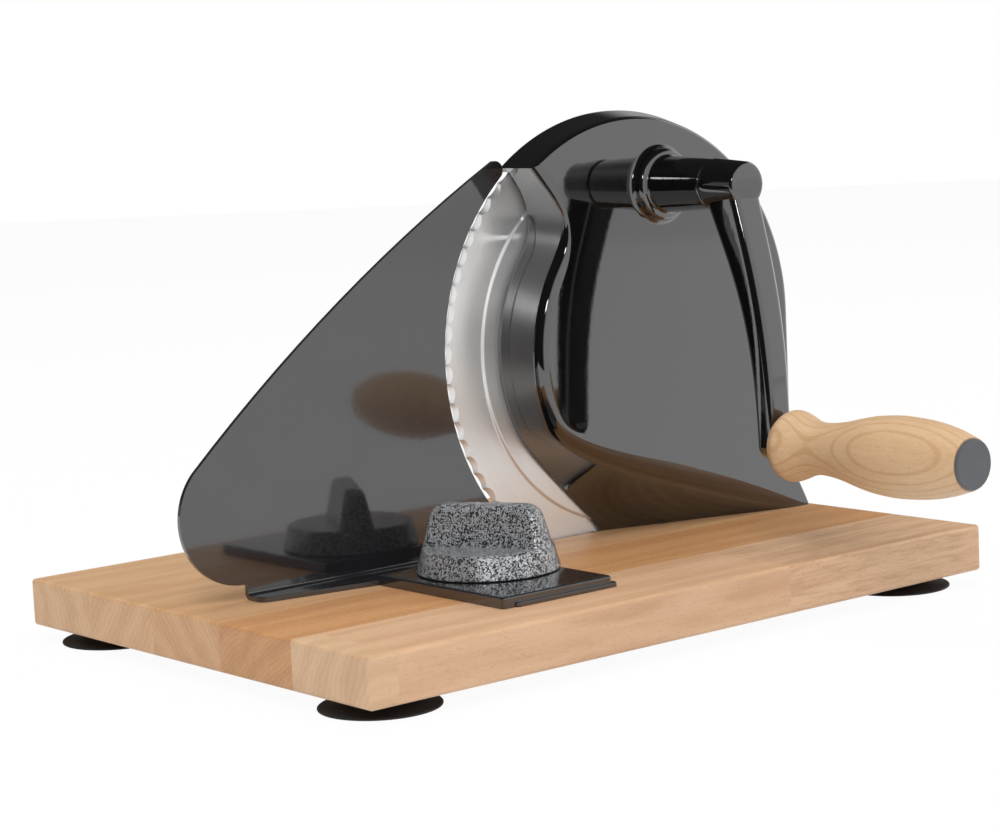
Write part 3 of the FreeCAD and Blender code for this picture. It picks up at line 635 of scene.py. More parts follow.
def away(point: Point, degrees: float, length: float) -> Point:
    """A point at a distance in a direction."""
    return on_circle(point, length, degrees)


def across_y(y: float) -> Callable[[float, float], Vector]:
    """Stand a sketch of X and Z upright at one Y."""
    return lambda x, z: Vector((x, y, z)) * MM


def loop_edges(ring: Ring, closed: bool = True) -> list[BMEdge]:
    """The edges between neighbouring points of a ring."""
    pairs = list(zip(ring, ring[1:] + ring[:1])) if closed else list(zip(ring, ring[1:]))
    wanted = []
    for a, b in pairs:
        edge = next((e for e in a.link_edges if e.other_vert(a) is b), None)
        if edge is not None:
            wanted.append(edge)
    return wanted


def drawn_out(
    bm: BMesh,
    ring: Ring,
    move: Callable[[int, Vector], Vector],
    closed: bool = True,
) -> Ring:
    """Extrude a ring's edges and move the new points.

    Args:
        bm: The mesh.
        ring: The ring's points in order.
        move: Gives a new point's place from its number and the old place.
        closed: Whether the ring comes back to its start.

    Returns:
        The new ring in the same order.
    """
    out = bmesh.ops.extrude_edge_only(bm, edges=loop_edges(ring, closed))["geom"]
    fresh = {g for g in out if isinstance(g, BMVert)}
    new = []
    for i, v in enumerate(ring):
        twin = next(e.other_vert(v) for e in v.link_edges if e.other_vert(v) in fresh)
        twin.co = move(i, v.co)
        new.append(twin)
    return new


def capped(bm: BMesh, ring: Ring) -> None:
    """Close a ring with one flat face."""
    bmesh.ops.contextual_create(bm, geom=loop_edges(ring))


def slab(bm: BMesh, ring: Ring, shift: Vector) -> Ring:
    """Close a ring, carry it on and close its far end.

    Args:
        bm: The mesh.
        ring: The ring's points in order.
        shift: How far the slab reaches, in millimetres.

    Returns:
        The far ring.
    """
    capped(bm, ring)
    far = drawn_out(bm, ring, lambda i, v: v + shift * MM)
    capped(bm, far)
    return far


def turned(
    bm: BMesh, sketch: Sketch, axis: Vector, centre: Vector, steps: int, around: int
) -> None:
    """Spin an open sketch once round an axis.

    Args:
        bm: The mesh to add to.
        sketch: The profile as radius and height along the axis, both in millimetres.
        axis: The axis direction, along Y or Z.
        centre: The axis point at height 0, in metres.
        steps: Points in each stretch.
        around: Steps round the axis.
    """

    def to_space(radius: float, height: float) -> Vector:
        """A point of the sketch beside the axis."""
        return centre + (Vector((radius, 0, 0)) + axis * height) * MM

    ring = sketch.ring(bm, to_space, steps, closed=False)
    edges = loop_edges(ring, closed=False)
    bmesh.ops.spin(
        bm, geom=ring + edges, cent=centre, axis=axis, angle=math.tau, steps=around, use_merge=True
    )


def fresh_ring(bm: BMesh, count: int) -> Ring:
    """A ring of joined points in order, whose places are still to be given."""
    made = bmesh.ops.create_circle(bm, segments=count, radius=1.0)
    return sorted(made["verts"], key=lambda v: math.atan2(v.co.y, v.co.x) % math.tau)


def rounded(bm: BMesh, edges: Iterable[BMEdge], width: float, segments: int) -> None:
    """Bevel edges round.

    Args:
        bm: The mesh.
        edges: Which edges.
        width: The bevel's width in millimetres.
        segments: Its steps.
    """
    bmesh.ops.bevel(
        bm,
        geom=list(edges),
        offset=width * MM,
        offset_type="OFFSET",
        segments=segments,
        profile=0.5,
        affect="EDGES",
        clamp_overlap=True,
        material=-1,
    )


def linked(name: str, data: bpy.types.ID) -> Object:
    """A new object of the scene."""
    thing = bpy.data.objects.new(name, data)
    bpy.context.scene.collection.objects.link(thing)
    return thing


class Part:
    """One finished piece: a mesh at the origin, smooth, dressed and tied to a body."""

    def __init__(self, name: str, body: str, slot: str, replaces: tuple[str, ...] = ()) -> None:
        """Name the piece.

        Args:
            name: The piece's name.
            body: The body it moves with.
            slot: The record's material slot; not used.
            replaces: The frame's nodes it stands for.
        """
        self.name = name
        self.body = body
        self.slot = slot
        self.replaces = replaces
        self.bm = bmesh.new()

    def done(self, material: Material, sharp: float = 35.0) -> None:
        """Close the mesh and hand it to the frame.

        Args:
            material: The finish.
            sharp: Edges that turn more than this stay crisp, in degrees.
        """
        bm = self.bm
        bmesh.ops.remove_doubles(bm, verts=bm.verts, dist=SAME_PLACE)
        loose = [v for v in bm.verts if not v.link_faces]
        bmesh.ops.delete(bm, geom=loose, context="VERTS")
        bmesh.ops.recalc_face_normals(bm, faces=bm.faces)
        for face in bm.faces:
            face.smooth = True
        for edge in bm.edges:
            edge.smooth = len(edge.link_faces) == 2 and edge.calc_face_angle(0.0) < math.radians(sharp)
        mesh = bpy.data.meshes.new(self.name)
        bm.to_mesh(mesh)
        bm.free()
        mesh.materials.append(material)
        piece = linked(self.name, mesh)
        weights = piece.modifiers.new("flat faces lead", "WEIGHTED_NORMAL")
        weights.keep_sharp = True
        weights.weight = 100
        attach(piece, self.body)
        for node in self.replaces:
            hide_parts(node)
        log.info("%s: %d faces on %s", self.name, len(mesh.polygons), self.body)


# The slicer's sub-assemblies


@dataclass
class Housing:
    """The enamelled casting over the blade, with its boss for the crank shaft."""

    blade: Point
    rim_radius: float = 102.5
    recess_radius: float = 100.3
    rim_tip: float = 128.0
    rim_leg: float = -30.0
    crescent_radius: float = 72.5
    crescent_low: float = 205.0
    crescent_high: float = 143.0
    flank_radius: float = 71.5
    flat_radius: float = 66.3
    rim_back: float = 47.3
    lip: float = 44.8
    recess: float = 42.6
    face: float = 14.8
    wall: float = 4.0
    board_top: float = 26.5
    face_shift: Point = (-16.0, 9.0)
    face_radius: float = 90.8
    flat_inset: float = 1.5
    foot_right: float = 87.5
    foot_left: float = -26.2
    face_foot: float = 76.0
    cavity_shift: Point = (-14.0, 10.5)
    cavity_radius: float = 82.0
    cavity_high: float = 146.0
    cavity_foot: float = 9.0
    crank_rise: float = 70.0
    soft_edge: float = 2.0
    crisp_edge: float = 0.15
    band_edge: float = 0.7
    sleeve_end: float = -19.7
    shaft_radius: float = 7.0
    steps: int = 24

    def rim_sketch(self) -> Sketch:
        """The outline at the blade: rim, leg, foot, crescent edge and nose.

        Returns:
            The sketch, in nine stretches.
        """
        c = self.blade
        leg = on_circle(c, self.rim_radius, self.rim_leg)
        right = (c[0] + self.foot_right, self.board_top)
        left = (c[0] + self.foot_left, self.board_top)
        sweep = on_circle(c, self.crescent_radius, self.crescent_low)
        hook = on_circle(c, self.crescent_radius, self.crescent_high)
        tip = on_circle(c, self.rim_radius, self.rim_tip)
        s = Sketch(tip).arc(c, self.rim_radius, self.rim_tip, 0, 3)
        s.arc(c, self.rim_radius, 0, self.rim_leg, 1)
        s.curve(away(leg, self.rim_leg - 90, 12), away(right, 98, 10), right).line(left)
        s.curve(away(left, 131, 30), away(sweep, self.crescent_low + 90, 14), sweep)
        s.arc(c, self.crescent_radius, self.crescent_low, self.crescent_high, 1)
        return s.curve(away(hook, self.crescent_high - 90, 14), away(tip, -51, 19), tip)

    def face_sketch(self, flat: bool) -> Sketch:
        """The outline of the front, at its corner or where its rounded edge ends.

        Args:
            flat: Whether inside the rounded edge.

        Returns:
            The sketch, in the rim's nine stretches.
        """
        c = (self.blade[0] + self.face_shift[0], self.blade[1] + self.face_shift[1])
        inset = self.flat_inset if flat else 0.0
        radius = self.face_radius - inset
        left_radius = self.flat_radius if flat else self.flank_radius
        start, turn, reach = (124.5, 150, 21) if flat else (127.5, 148, 24)
        low, side = (148, 290) if flat else (162, 295)
        leg = (c[0] + radius, self.board_top + 30)
        right = (self.blade[0] + self.foot_right - 1.5 - inset, self.board_top)
        left = (self.blade[0] + self.face_foot + 5 * inset, self.board_top)
        sweep = on_circle(self.blade, left_radius, side - 90)
        hook = on_circle(self.blade, left_radius, turn)
        tip = on_circle(c, radius, start)
        s = Sketch(tip).arc(c, radius, start, 0, 3).line(leg)
        s.curve(away(leg, -90, 12), away(right, 114, 12), right).line(left)
        s.curve(away(left, low, 60), away(sweep, side, 22), sweep)
        s.arc(self.blade, left_radius, side - 90, turn, 1)
        return s.curve(away(hook, turn - 90, reach), away(tip, -50, reach), tip)

    def cavity_sketch(self, back: bool) -> Sketch:
        """The outline of the hollow, at its open back or at its floor.

        Args:
            back: Whether at the open back.

        Returns:
            The sketch, in the rim's nine stretches.
        """
        low = self.board_top + self.cavity_foot
        x = self.blade[0]
        if back:
            c, radius, start, left_radius = self.blade, self.rim_radius - 6, 120, 66.5
            side = on_circle(c, radius, self.rim_leg)
            corner, foot = (x + 79.0, low), (x - 7.0, low)
            first = (x - 21.0, 46.0)
        else:
            c = (x + self.cavity_shift[0], self.blade[1] + self.cavity_shift[1])
            radius, start, left_radius = self.cavity_radius, 107, 62.0
            side = (c[0] + radius, 56.5)
            corner, foot = (side[0], low), (x + 60.0, low)
            first = away(foot, 160, 45)
        sweep = on_circle(self.blade, left_radius, self.crescent_low)
        hook = on_circle(self.blade, left_radius, self.cavity_high)
        tip = on_circle(c, radius, start)
        s = Sketch(tip).arc(c, radius, start, 0, 3)
        s = s.arc(c, radius, 0, self.rim_leg, 1) if back else s.line(side)
        s.line(corner, foot).curve(first, away(sweep, self.crescent_low + 90, 14), sweep)
        s.arc(self.blade, left_radius, self.crescent_low, self.cavity_high, 1)
        return s.curve(away(hook, self.cavity_high - 90, 10), away(tip, -90, 10), tip)

    def build(self, enamel: Material) -> None:
        """Build the hood, the rim band and the boss.

        Args:
            enamel: The casting's finish.
        """
        part = Part("casting_shell", "base", "black_enamel", ("casting",))
        bm = part.bm
        scratch = bmesh.new()

        def places(sketch: Sketch, y: float) -> list[Vector]:
            return [v.co.copy() for v in sketch.ring(scratch, across_y(y), self.steps)]

        floor = self.cavity_sketch(back=False).ring(bm, across_y(self.face + self.wall), self.steps)
        capped(bm, floor)
        back = places(self.cavity_sketch(back=True), self.recess)
        lip = places(self.rim_sketch(), self.lip)
        face = places(self.face_sketch(flat=False), self.face)
        flat = places(self.face_sketch(flat=True), self.face)
        scratch.free()
        share = (self.lip - self.recess) / (self.lip - self.face)
        edge = [a.lerp(b, share) for a, b in zip(lip, face)]
        crescent = self.crescent_starts()
        soft = [(self.soft_edge if i > crescent else self.crisp_edge) * MM for i in range(len(edge))]
        to_face = [(b - a).normalized() for a, b in zip(edge, face)]
        from_back = [a + (b - a).normalized() * reach for a, b, reach in zip(edge, back, soft)]
        on_flank = [a + way * reach for a, way, reach in zip(edge, to_face, soft)]
        to_flat = [b - way * (c - b).length for b, way, c in zip(face, to_face, flat)]
        ring = drawn_out(bm, floor, lambda i, _: back[i])
        for starts, corners, ends, steps in ((from_back, edge, on_flank, 6), (to_flat, face, flat, 9)):
            for k in range(steps + 1):
                t = k / steps
                ring = drawn_out(bm, ring, lambda i, _: bent(starts[i], corners[i], ends[i], t))
        capped(bm, ring)
        self.band(bm, edge[: crescent + 1], lip[: crescent + 1])
        self.boss(bm)
        part.done(enamel, sharp=38)

    def crescent_starts(self) -> int:
        """The number of the outline's point where the rim, leg and foot end."""
        rim_stretches = 5
        return rim_stretches * self.steps + self.steps

    def band(self, bm: BMesh, edge: list[Vector], lip: list[Vector]) -> None:
        """Add the thin rim that stands back round the blade.

        Args:
            bm: The mesh.
            edge: Where the hood ends, at the recess.
            lip: The hood's slope carried on to the rim.
        """
        ring = [bm.verts.new(place) for place in edge]
        for a, b in zip(ring, ring[1:]):
            bm.edges.new((a, b))
        centre = Vector((self.blade[0], 0, self.blade[1])) * MM
        soft = self.band_edge * MM
        back = self.rim_back * MM

        def inward(v: Vector) -> Vector:
            flat = Vector((v.x, 0, v.z)) - centre
            return centre + flat.normalized() * self.recess_radius * MM

        rows = [ring]
        rows.append(drawn_out(bm, ring, lambda i, _: lip[i], closed=False))
        for k in range(5):
            turn = math.pi / 2 * k / 4
            depth = back - soft * (1 - math.sin(turn))
            across = soft * (1 - math.cos(turn))

            def at_turn(i: int, _: Vector) -> Vector:
                """A point of the band's rounded back corner."""
                way = inward(lip[i]) - Vector((lip[i].x, 0, lip[i].z))
                return Vector((lip[i].x, depth, lip[i].z)) + way.normalized() * across

            rows.append(drawn_out(bm, rows[-1], at_turn, closed=False))
        rows.append(drawn_out(bm, rows[-1], lambda i, v: inward(v) + Vector((0, back, 0)), closed=False))
        front = (self.recess + 0.1) * MM
        rows.append(drawn_out(bm, rows[-1], lambda i, v: Vector((v.x, front, v.z)), closed=False))
        seam = loop_edges(rows[-1], closed=False) + loop_edges(ring, closed=False)
        bmesh.ops.bridge_loops(bm, edges=seam)
        for end in (0, -1):
            bmesh.ops.contextual_create(bm, geom=[row[end] for row in rows])

    def boss(self, bm: BMesh) -> None:
        """Add the collar and sleeve for the crank shaft."""
        centre = Vector((self.blade[0], 0, self.blade[1] + self.crank_rise)) * MM
        f, e, r = self.face, self.sleeve_end, self.shaft_radius
        s = Sketch((19.0, f + 0.3)).curve((17.2, f), (16.2, f - 0.5), (15.9, f - 2.2))
        s.line((15.8, f - 2.8))
        s.curve((15.7, f - 4.2), (14.9, f - 5.2), (13.9, f - 5.5)).line((13.2, f - 5.7))
        s.curve((12.5, f - 5.9), (12.4, f - 6.4), (12.3, f - 7.2)).line((10.75, e + 0.8))
        s.curve((10.7, e + 0.3), (10.4, e), (9.9, e)).line((r, e), (r, e + 9.7))
        turned(bm, s, Y_AXIS, centre, 6, 96)


def bent(a: Vector, corner: Vector, b: Vector, t: float) -> Vector:
    """A point of the curve that rounds a corner.

    Args:
        a: Where it starts.
        corner: The corner that it rounds.
        b: Where it ends.
        t: How far along, from 0 to 1.

    Returns:
        The point.
    """
    return a * (1 - t) ** 2 + corner * 2 * t * (1 - t) + b * t**2


@dataclass
class CastingScrews:
    """The three screws that hold the casting down on the board."""

    blade: Point
    head_radius: float = 4.8
    head: float = 3.0
    radius: float = 2.5
    board_top: float = 26.5
    reach: float = 7.0
    short: float = -0.3
    along: tuple[float, ...] = (10.5, 42.0, 73.5)
    places_y: tuple[float, ...] = (35.45, 31.32, 29.55)

    def build(self, steel: Material) -> None:
        """Build the screws, the first one short enough for the foot's thin end.

        Args:
            steel: The bright finish.
        """
        part = Part("casting_screw_set", "base", "bright_steel", ("casting_screws",))
        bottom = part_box("casting_screws")[0][2] / MM
        reaches = (self.short, self.reach, self.reach)
        for along, y, reach in zip(self.along, self.places_y, reaches):
            centre = Vector((self.blade[0] + along, y, 0)) * MM
            s = Sketch((0.0, bottom)).line((self.head_radius, bottom))
            s.line((self.head_radius, bottom + self.head), (self.radius, bottom + self.head))
            s.line((self.radius, self.board_top + reach), (0.0, self.board_top + reach))
            turned(part.bm, s, Z_AXIS, centre, 1, 24)
        part.done(steel)


@dataclass
class Blade:
    """The round blade with its ground scallops."""

    centre: Point
    radius: float = 99.5
    teeth: int = 74
    depth: float = 0.9
    front: float = 44.3
    back: float = 45.5
    dish: float = 0.8
    step: float = 80.0
    step_width: float = 1.8
    step_soft: float = 0.12
    edge: float = 0.35
    grind: float = 0.4
    grind_bite: float = 1.9
    flat_from: float = 4.2
    hub: float = 20.0
    bore: float = 9.0
    per_tooth: int = 8

    def build(self, steel: Material) -> None:
        """Build the disc from its edge inwards, front then back.

        Args:
            steel: The turned finish.
        """
        part = Part("blade_disc", "blade_body", "blade_steel", ("blade",))
        bm = part.bm
        count = self.teeth * self.per_tooth
        middle = Vector((self.centre[0], 0, self.centre[1])) * MM

        def bite(i: int) -> float:
            """How deep the scallop is at a point, from 0 to 1."""
            t = (i % self.per_tooth) / self.per_tooth
            return 1 - (2 * t - 1) ** 2

        def at(i: int, radius: float, y: float) -> Vector:
            angle = math.tau * i / count
            flat = Vector((math.cos(angle), 0, math.sin(angle))) * radius
            return middle + (flat + Vector((0, y, 0))) * MM

        def inward(ring: Ring, rows: Iterable[Point]) -> Ring:
            """Carry a ring in towards the middle through rows of radius and Y."""
            for radius, y in rows:
                ring = drawn_out(bm, ring, lambda i, _: at(i, radius, y))
            return ring

        edge = fresh_ring(bm, count)
        for i, v in enumerate(edge):
            v.co = at(i, self.radius - self.depth * bite(i), self.back - self.edge)
        ground = self.radius - self.depth - self.grind
        ramp, dished = self.step_width / 2, self.front - self.dish
        front = drawn_out(bm, edge, lambda i, _: at(i, ground - self.grind_bite * bite(i), self.front))
        front_rows = (
            (self.radius - self.flat_from, self.front),
            (self.step + ramp, self.front),
            (self.step + ramp - 0.5, self.front - self.step_soft),
            (self.step - ramp + 0.5, dished + self.step_soft),
            (self.step - ramp, dished),
            (self.hub, dished),
            (self.bore, dished),
        )
        rear = drawn_out(bm, edge, lambda i, _: at(i, self.radius - self.depth * bite(i), self.back))
        rear_rows = (
            (self.radius - 1.6, self.back),
            (self.step + ramp, self.back),
            (self.step - ramp, self.back - self.dish),
            (self.hub, self.back - self.dish),
            (self.bore, self.back - self.dish),
        )
        ends = loop_edges(inward(front, front_rows)) + loop_edges(inward(rear, rear_rows))
        bmesh.ops.bridge_loops(bm, edges=ends)
        part.done(steel, sharp=14)


@dataclass
class Crank:
    """The cast crank arm with its hub."""

    x: float
    shaft: float = 179.5
    handle: float = 70.5
    start: float = -20.0
    end: float = -39.5
    front: float = -54.7
    thickness: float = 10.0
    top_width: float = 16.0
    end_width: float = 12.6
    hub_inner: float = 11.0
    hub_outer: float = 9.6
    corner: float = 3.2
    fullest: float = 0.98
    tip_turn: float = 10.6

    def side(self, t: float, outer: bool) -> Vector:
        """A point of the arm's side view.

        Args:
            t: How far down the arm, from 0 to 1.
            outer: Whether on the side away from the housing.

        Returns:
            The point in millimetres, as (0, y, z).
        """
        fall = self.shaft - self.handle
        back = self.front + self.thickness
        if outer:
            leaves, below, pull, drops, at = self.end + 0.5, 4, self.end - 7, (0.30, 0.50), self.front
        else:
            leaves, below, pull, drops, at = self.start, 5, self.start - 12, (0.32, 0.49), back
        rows = (
            (leaves, self.shaft - below),
            (pull, self.shaft - drops[0] * fall),
            (at, self.shaft - drops[1] * fall),
            (at, self.handle),
        )
        a, b, c, d = (Vector((0, y, z)) for y, z in rows)
        return a * (1 - t) ** 3 + b * 3 * t * (1 - t) ** 2 + c * 3 * t * t * (1 - t) + d * t**3

    def build(self, enamel: Material) -> None:
        """Build the hub and the arm.

        Args:
            enamel: The crank's finish.
        """
        part = Part("crank_casting", "crank", "black_enamel", ("crank_arm",))
        bm = part.bm
        centre = Vector((self.x, 0, self.shaft)) * MM
        s, e = self.start, self.end
        hub = Sketch((5.2, s)).line((self.hub_inner - 1.2, s))
        hub.curve((self.hub_inner - 0.5, s), (self.hub_inner, s - 0.5), (self.hub_inner, s - 1.2))
        hub.line((self.hub_outer, e + 1.6))
        hub.curve((self.hub_outer - 0.1, e + 0.6), (self.hub_outer - 0.8, e), (self.hub_outer - 1.8, e))
        hub.line((0, e))
        turned(bm, hub, Y_AXIS, centre, 6, 72)
        corner_steps = 6
        count = 4 * (corner_steps + 1)
        ring = fresh_ring(bm, count)

        def section(i: int, inner: Vector, outer: Vector, width: float, radius: float) -> Vector:
            """A point of the arm's rounded section."""
            corner, k = divmod(i, corner_steps + 1)
            angle = math.pi / 2 * (corner + k / corner_steps)
            middle = (inner + outer) / 2
            depth = (outer - inner) / 2
            radius = min(radius, width / 2 * self.fullest, depth.length * self.fullest)
            across = width / 2 - radius
            deep = depth.length - radius
            sx = 1 if corner in (0, 3) else -1
            sy = 1 if corner in (0, 1) else -1
            u = sx * across + radius * math.cos(angle)
            v = sy * deep + radius * math.sin(angle)
            return (Vector((self.x + u, 0, 0)) + middle + depth.normalized() * v) * MM

        stations = 30
        for k in range(stations + 1):
            t = k / stations
            inner, outer = self.side(t, False), self.side(t, True)
            share = (self.shaft - (inner.z + outer.z) / 2) / (self.shaft - self.handle)
            width = self.top_width + (self.end_width - self.top_width) * share
            if k == 0:
                for i, v in enumerate(ring):
                    v.co = section(i, inner, outer, width, self.corner)
                first = ring
            else:
                ring = drawn_out(bm, ring, lambda i, _: section(i, inner, outer, width, self.corner))
        for k in range(1, 9):
            turn = math.radians(self.tip_turn * k)
            drop = Vector((0, 0, -self.end_width / 2 * math.sin(turn)))
            inner, outer = self.side(1, False) + drop, self.side(1, True) + drop
            width = self.end_width * math.cos(turn)
            ring = drawn_out(bm, ring, lambda i, _: section(i, inner, outer, width, self.corner))
        capped(bm, ring)
        capped(bm, first)
        part.done(enamel, sharp=40)


def through(points: list[Point]) -> Sketch:
    """A smooth sketch through points, in order."""
    sketch = Sketch(points[0])
    slopes = []
    for i, p in enumerate(points):
        before = points[max(i - 1, 0)]
        after = points[min(i + 1, len(points) - 1)]
        share = 1.0 if 0 < i < len(points) - 1 else 2.0
        slopes.append(((after[0] - before[0]) / 6 * share, (after[1] - before[1]) / 6 * share))
    for i in range(len(points) - 1):
        a, b = points[i], points[i + 1]
        first = (a[0] + slopes[i][0], a[1] + slopes[i][1])
        second = (b[0] - slopes[i + 1][0], b[1] - slopes[i + 1][1])
        sketch.curve(first, second, b)
    return sketch


@dataclass
class Handle:
    """The turned beech grip and its end cap."""

    x: float
    z: float = 70.5
    start: float = -55.8
    end: float = -157.3
    cap_end: float = -158.8
    grain_y: float = -106.0

    def build(self, wood: Material, plastic: Material) -> None:
        """Build the grip and the cap.

        Args:
            wood: The grip's finish.
            plastic: The cap's finish.
        """
        centre = Vector((self.x, 0, self.z)) * MM
        grip = Part("handle_turned_grip", "handle", "beech", ("handle_grip",))
        y0 = self.start
        rows = [
            (8.5, 0.0),
            (11.0, 0.55),
            (12.9, 2.2),
            (14.6, 4.9),
            (15.0, 7.6),
            (13.8, 11.6),
            (11.9, 16.5),
            (10.9, 22.3),
            (11.2, 29.0),
            (12.3, 36.5),
            (14.2, 45.0),
            (15.7, 53.0),
            (16.5, 62.0),
            (16.6, 68.0),
            (16.1, 77.0),
            (15.1, 85.3),
            (13.3, 93.5),
            (10.9, 101.0),
        ]
        profile = through([(r, y0 - s) for r, s in rows])
        profile.curve((10.8, self.end), (10.7, self.end), (10.4, self.end)).line((6.0, self.end))
        inner = Sketch((4.1, y0)).line((8.5, y0))
        turned(grip.bm, profile, Y_AXIS, centre, 5, 96)
        turned(grip.bm, inner, Y_AXIS, centre, 2, 96)
        grip.done(wood, sharp=50)
        cap = Part("handle_round_cap", "handle", "cap_plastic", ("handle_end_cap",))
        e, c = self.end, self.cap_end
        s = Sketch((7.4, e + 2.8)).line((7.4, e + 0.01), (10.1, e + 0.01), (10.2, e - 0.6))
        s.curve((10.2, c + 0.2), (9.9, c), (9.2, c)).line((0.0, c))
        turned(cap.bm, s, Y_AXIS, centre, 5, 72)
        cap.done(plastic, sharp=40)


@dataclass
class Gauge:
    """The thickness gauge: a bent sheet and the folded cover on its tab."""

    blade: Point
    left: float
    tab: Place
    edge_radius: float = 103.0
    front: float = 40.3
    back: float = 42.3
    low: float = 26.6
    sheet: float = 2.0
    bend: float = 3.0
    corner_radius: float = 28.0
    corner_height: float = 61.0
    tip_radius: float = 4.0
    tip_angle: float = 131.4
    bow: float = 6.0
    flange_corner: float = 5.0
    flange_depth: float = 10.0
    tab_depth: float = 19.0
    edge_round: float = 0.35
    skirt: float = 1.6
    cover_low: float = 26.7
    cover_top: float = 31.1
    cover_foot: float = 1.8
    notch: float = 6.0

    def build(self, lacquer: Material) -> None:
        """Build the sheet and the cover.

        Args:
            lacquer: The gauge's finish.
        """
        part = Part("gauge_sheet", "gauge", "grey_lacquer", ("gauge_plate",))
        bm = part.bm
        corner = (self.left + self.corner_radius, self.corner_height)
        bend_z = self.low + self.bend
        flange_left = corner[0] + self.bend / 2
        tip = on_circle(self.blade, self.edge_radius + self.tip_radius, self.tip_angle)
        turn = self.tip_angle - 13
        shoulder = on_circle(tip, self.tip_radius, turn)
        low_corner = on_circle(corner, self.corner_radius, 135)
        rise = bend_z - self.blade[1]
        right = self.blade[0] - math.sqrt(self.edge_radius**2 - rise**2)
        right_angle = math.degrees(math.atan2(rise, right - self.blade[0])) % 360
        chord = math.dist(shoulder, low_corner)
        run = math.degrees(math.atan2(shoulder[1] - low_corner[1], shoulder[0] - low_corner[0]))
        lean = math.degrees(math.atan(4 * self.bow / chord))
        s = Sketch(on_circle(tip, self.tip_radius, self.tip_angle - 180))
        s.arc(tip, self.tip_radius, self.tip_angle - 180, turn, 3)
        leaving = away(shoulder, run + 180 - lean, chord / 3)
        s.curve(leaving, away(low_corner, run + lean, chord / 3), low_corner)
        s.arc(corner, self.corner_radius, 135, 270, 3)
        s.line((flange_left, corner[1] - self.corner_radius), (flange_left, bend_z))
        s.line((right, bend_z))
        s.arc(self.blade, self.edge_radius, right_angle, self.tip_angle, 3)
        ring = s.ring(bm, across_y(self.front), 14)
        far = slab(bm, ring, Y_AXIS * self.sheet)
        rim = [
            e
            for e in loop_edges(ring) + loop_edges(far)
            if not all(abs(v.co.z - bend_z * MM) < SAME_PLACE for v in e.verts)
        ]
        rounded(bm, rim, self.edge_round, 3)
        self.curl(bm, flange_left, right, bend_z)
        self.flange(bm, flange_left, right)
        part.done(lacquer, sharp=40)
        self.cover(lacquer)

    def curl(self, bm: BMesh, left: float, right: float, bend_z: float) -> None:
        """Bend the sheet's foot forward.

        Args:
            bm: The mesh.
            left: The bend's left end.
            right: Its right end.
            bend_z: The height where the sheet starts to bend.
        """
        low = Sketch((left, self.back)).line((right, self.back))
        low.line((right, self.front), (left, self.front), (left, self.back))
        ring = low.ring(bm, lambda x, y: Vector((x, y, bend_z)) * MM, 1)
        edges = loop_edges(ring)
        centre = Vector((0, self.back - self.bend, bend_z)) * MM
        bmesh.ops.spin(
            bm,
            geom=ring + edges,
            cent=centre,
            axis=Vector((1, 0, 0)),
            angle=-math.pi / 2,
            steps=8,
            use_merge=False,
        )

    def flange(self, bm: BMesh, left: float, right: float) -> None:
        """Add the flat flange and the tab."""
        tab_left, tab_right, tab_front = self.tab
        back = self.back - self.bend
        shallow, deep = self.front - self.flange_depth, self.front - self.tab_depth
        r = self.flange_corner
        s = Sketch((left, back)).line((left, shallow + r * 0.7))
        round_to = (left + r, shallow - r * 0.2)
        s.curve((left, shallow + r * 0.2), (left + r * 0.4, shallow - r * 0.1), round_to)
        s.line((tab_left, deep), (tab_left, tab_front))
        s.line((tab_right, tab_front), (tab_right, deep), (right, shallow), (right, back))
        s.line((left, back))
        ring = s.ring(bm, lambda x, y: Vector((x, y, self.low)) * MM, 6)
        top = slab(bm, ring, Z_AXIS * self.sheet)
        edge = [
            e
            for e in loop_edges(top)
            if not all(abs(v.co.y - back * MM) < SAME_PLACE for v in e.verts)
        ]
        rounded(bm, edge, self.edge_round, 3)

    def cover(self, lacquer: Material) -> None:
        """Build the folded cover on the tab.

        Args:
            lacquer: Its finish.
        """
        part = Part("gauge_cover", "gauge", "grey_lacquer", ("gauge_tab_cover",))
        tab_left, tab_right, tab_front = self.tab
        skirt, back, low = self.skirt, self.front - self.tab_depth, self.cover_low
        left, right, front = tab_left - skirt, tab_right + skirt, tab_front - skirt
        for x0, x1, y0, z0, z1, round_by in (
            (left, right, front, low, self.cover_top, 0.9),
            (left + self.notch, right + skirt, front - skirt, low, low + self.cover_foot, 0.5),
        ):
            s = Sketch((x0, back)).line((x0, y0 + skirt))
            s.arc((x0 + skirt, y0 + skirt), skirt, 180, 270, 1).line((x1 - skirt, y0))
            s.arc((x1 - skirt, y0 + skirt), skirt, 270, 360, 1).line((x1, back), (x0, back))
            ring = s.ring(part.bm, lambda x, y: Vector((x, y, z0)) * MM, 5)
            upper = slab(part.bm, ring, Z_AXIS * (z1 - z0))
            rounded(part.bm, loop_edges(upper), round_by, 4)
        part.done(lacquer, sharp=40)


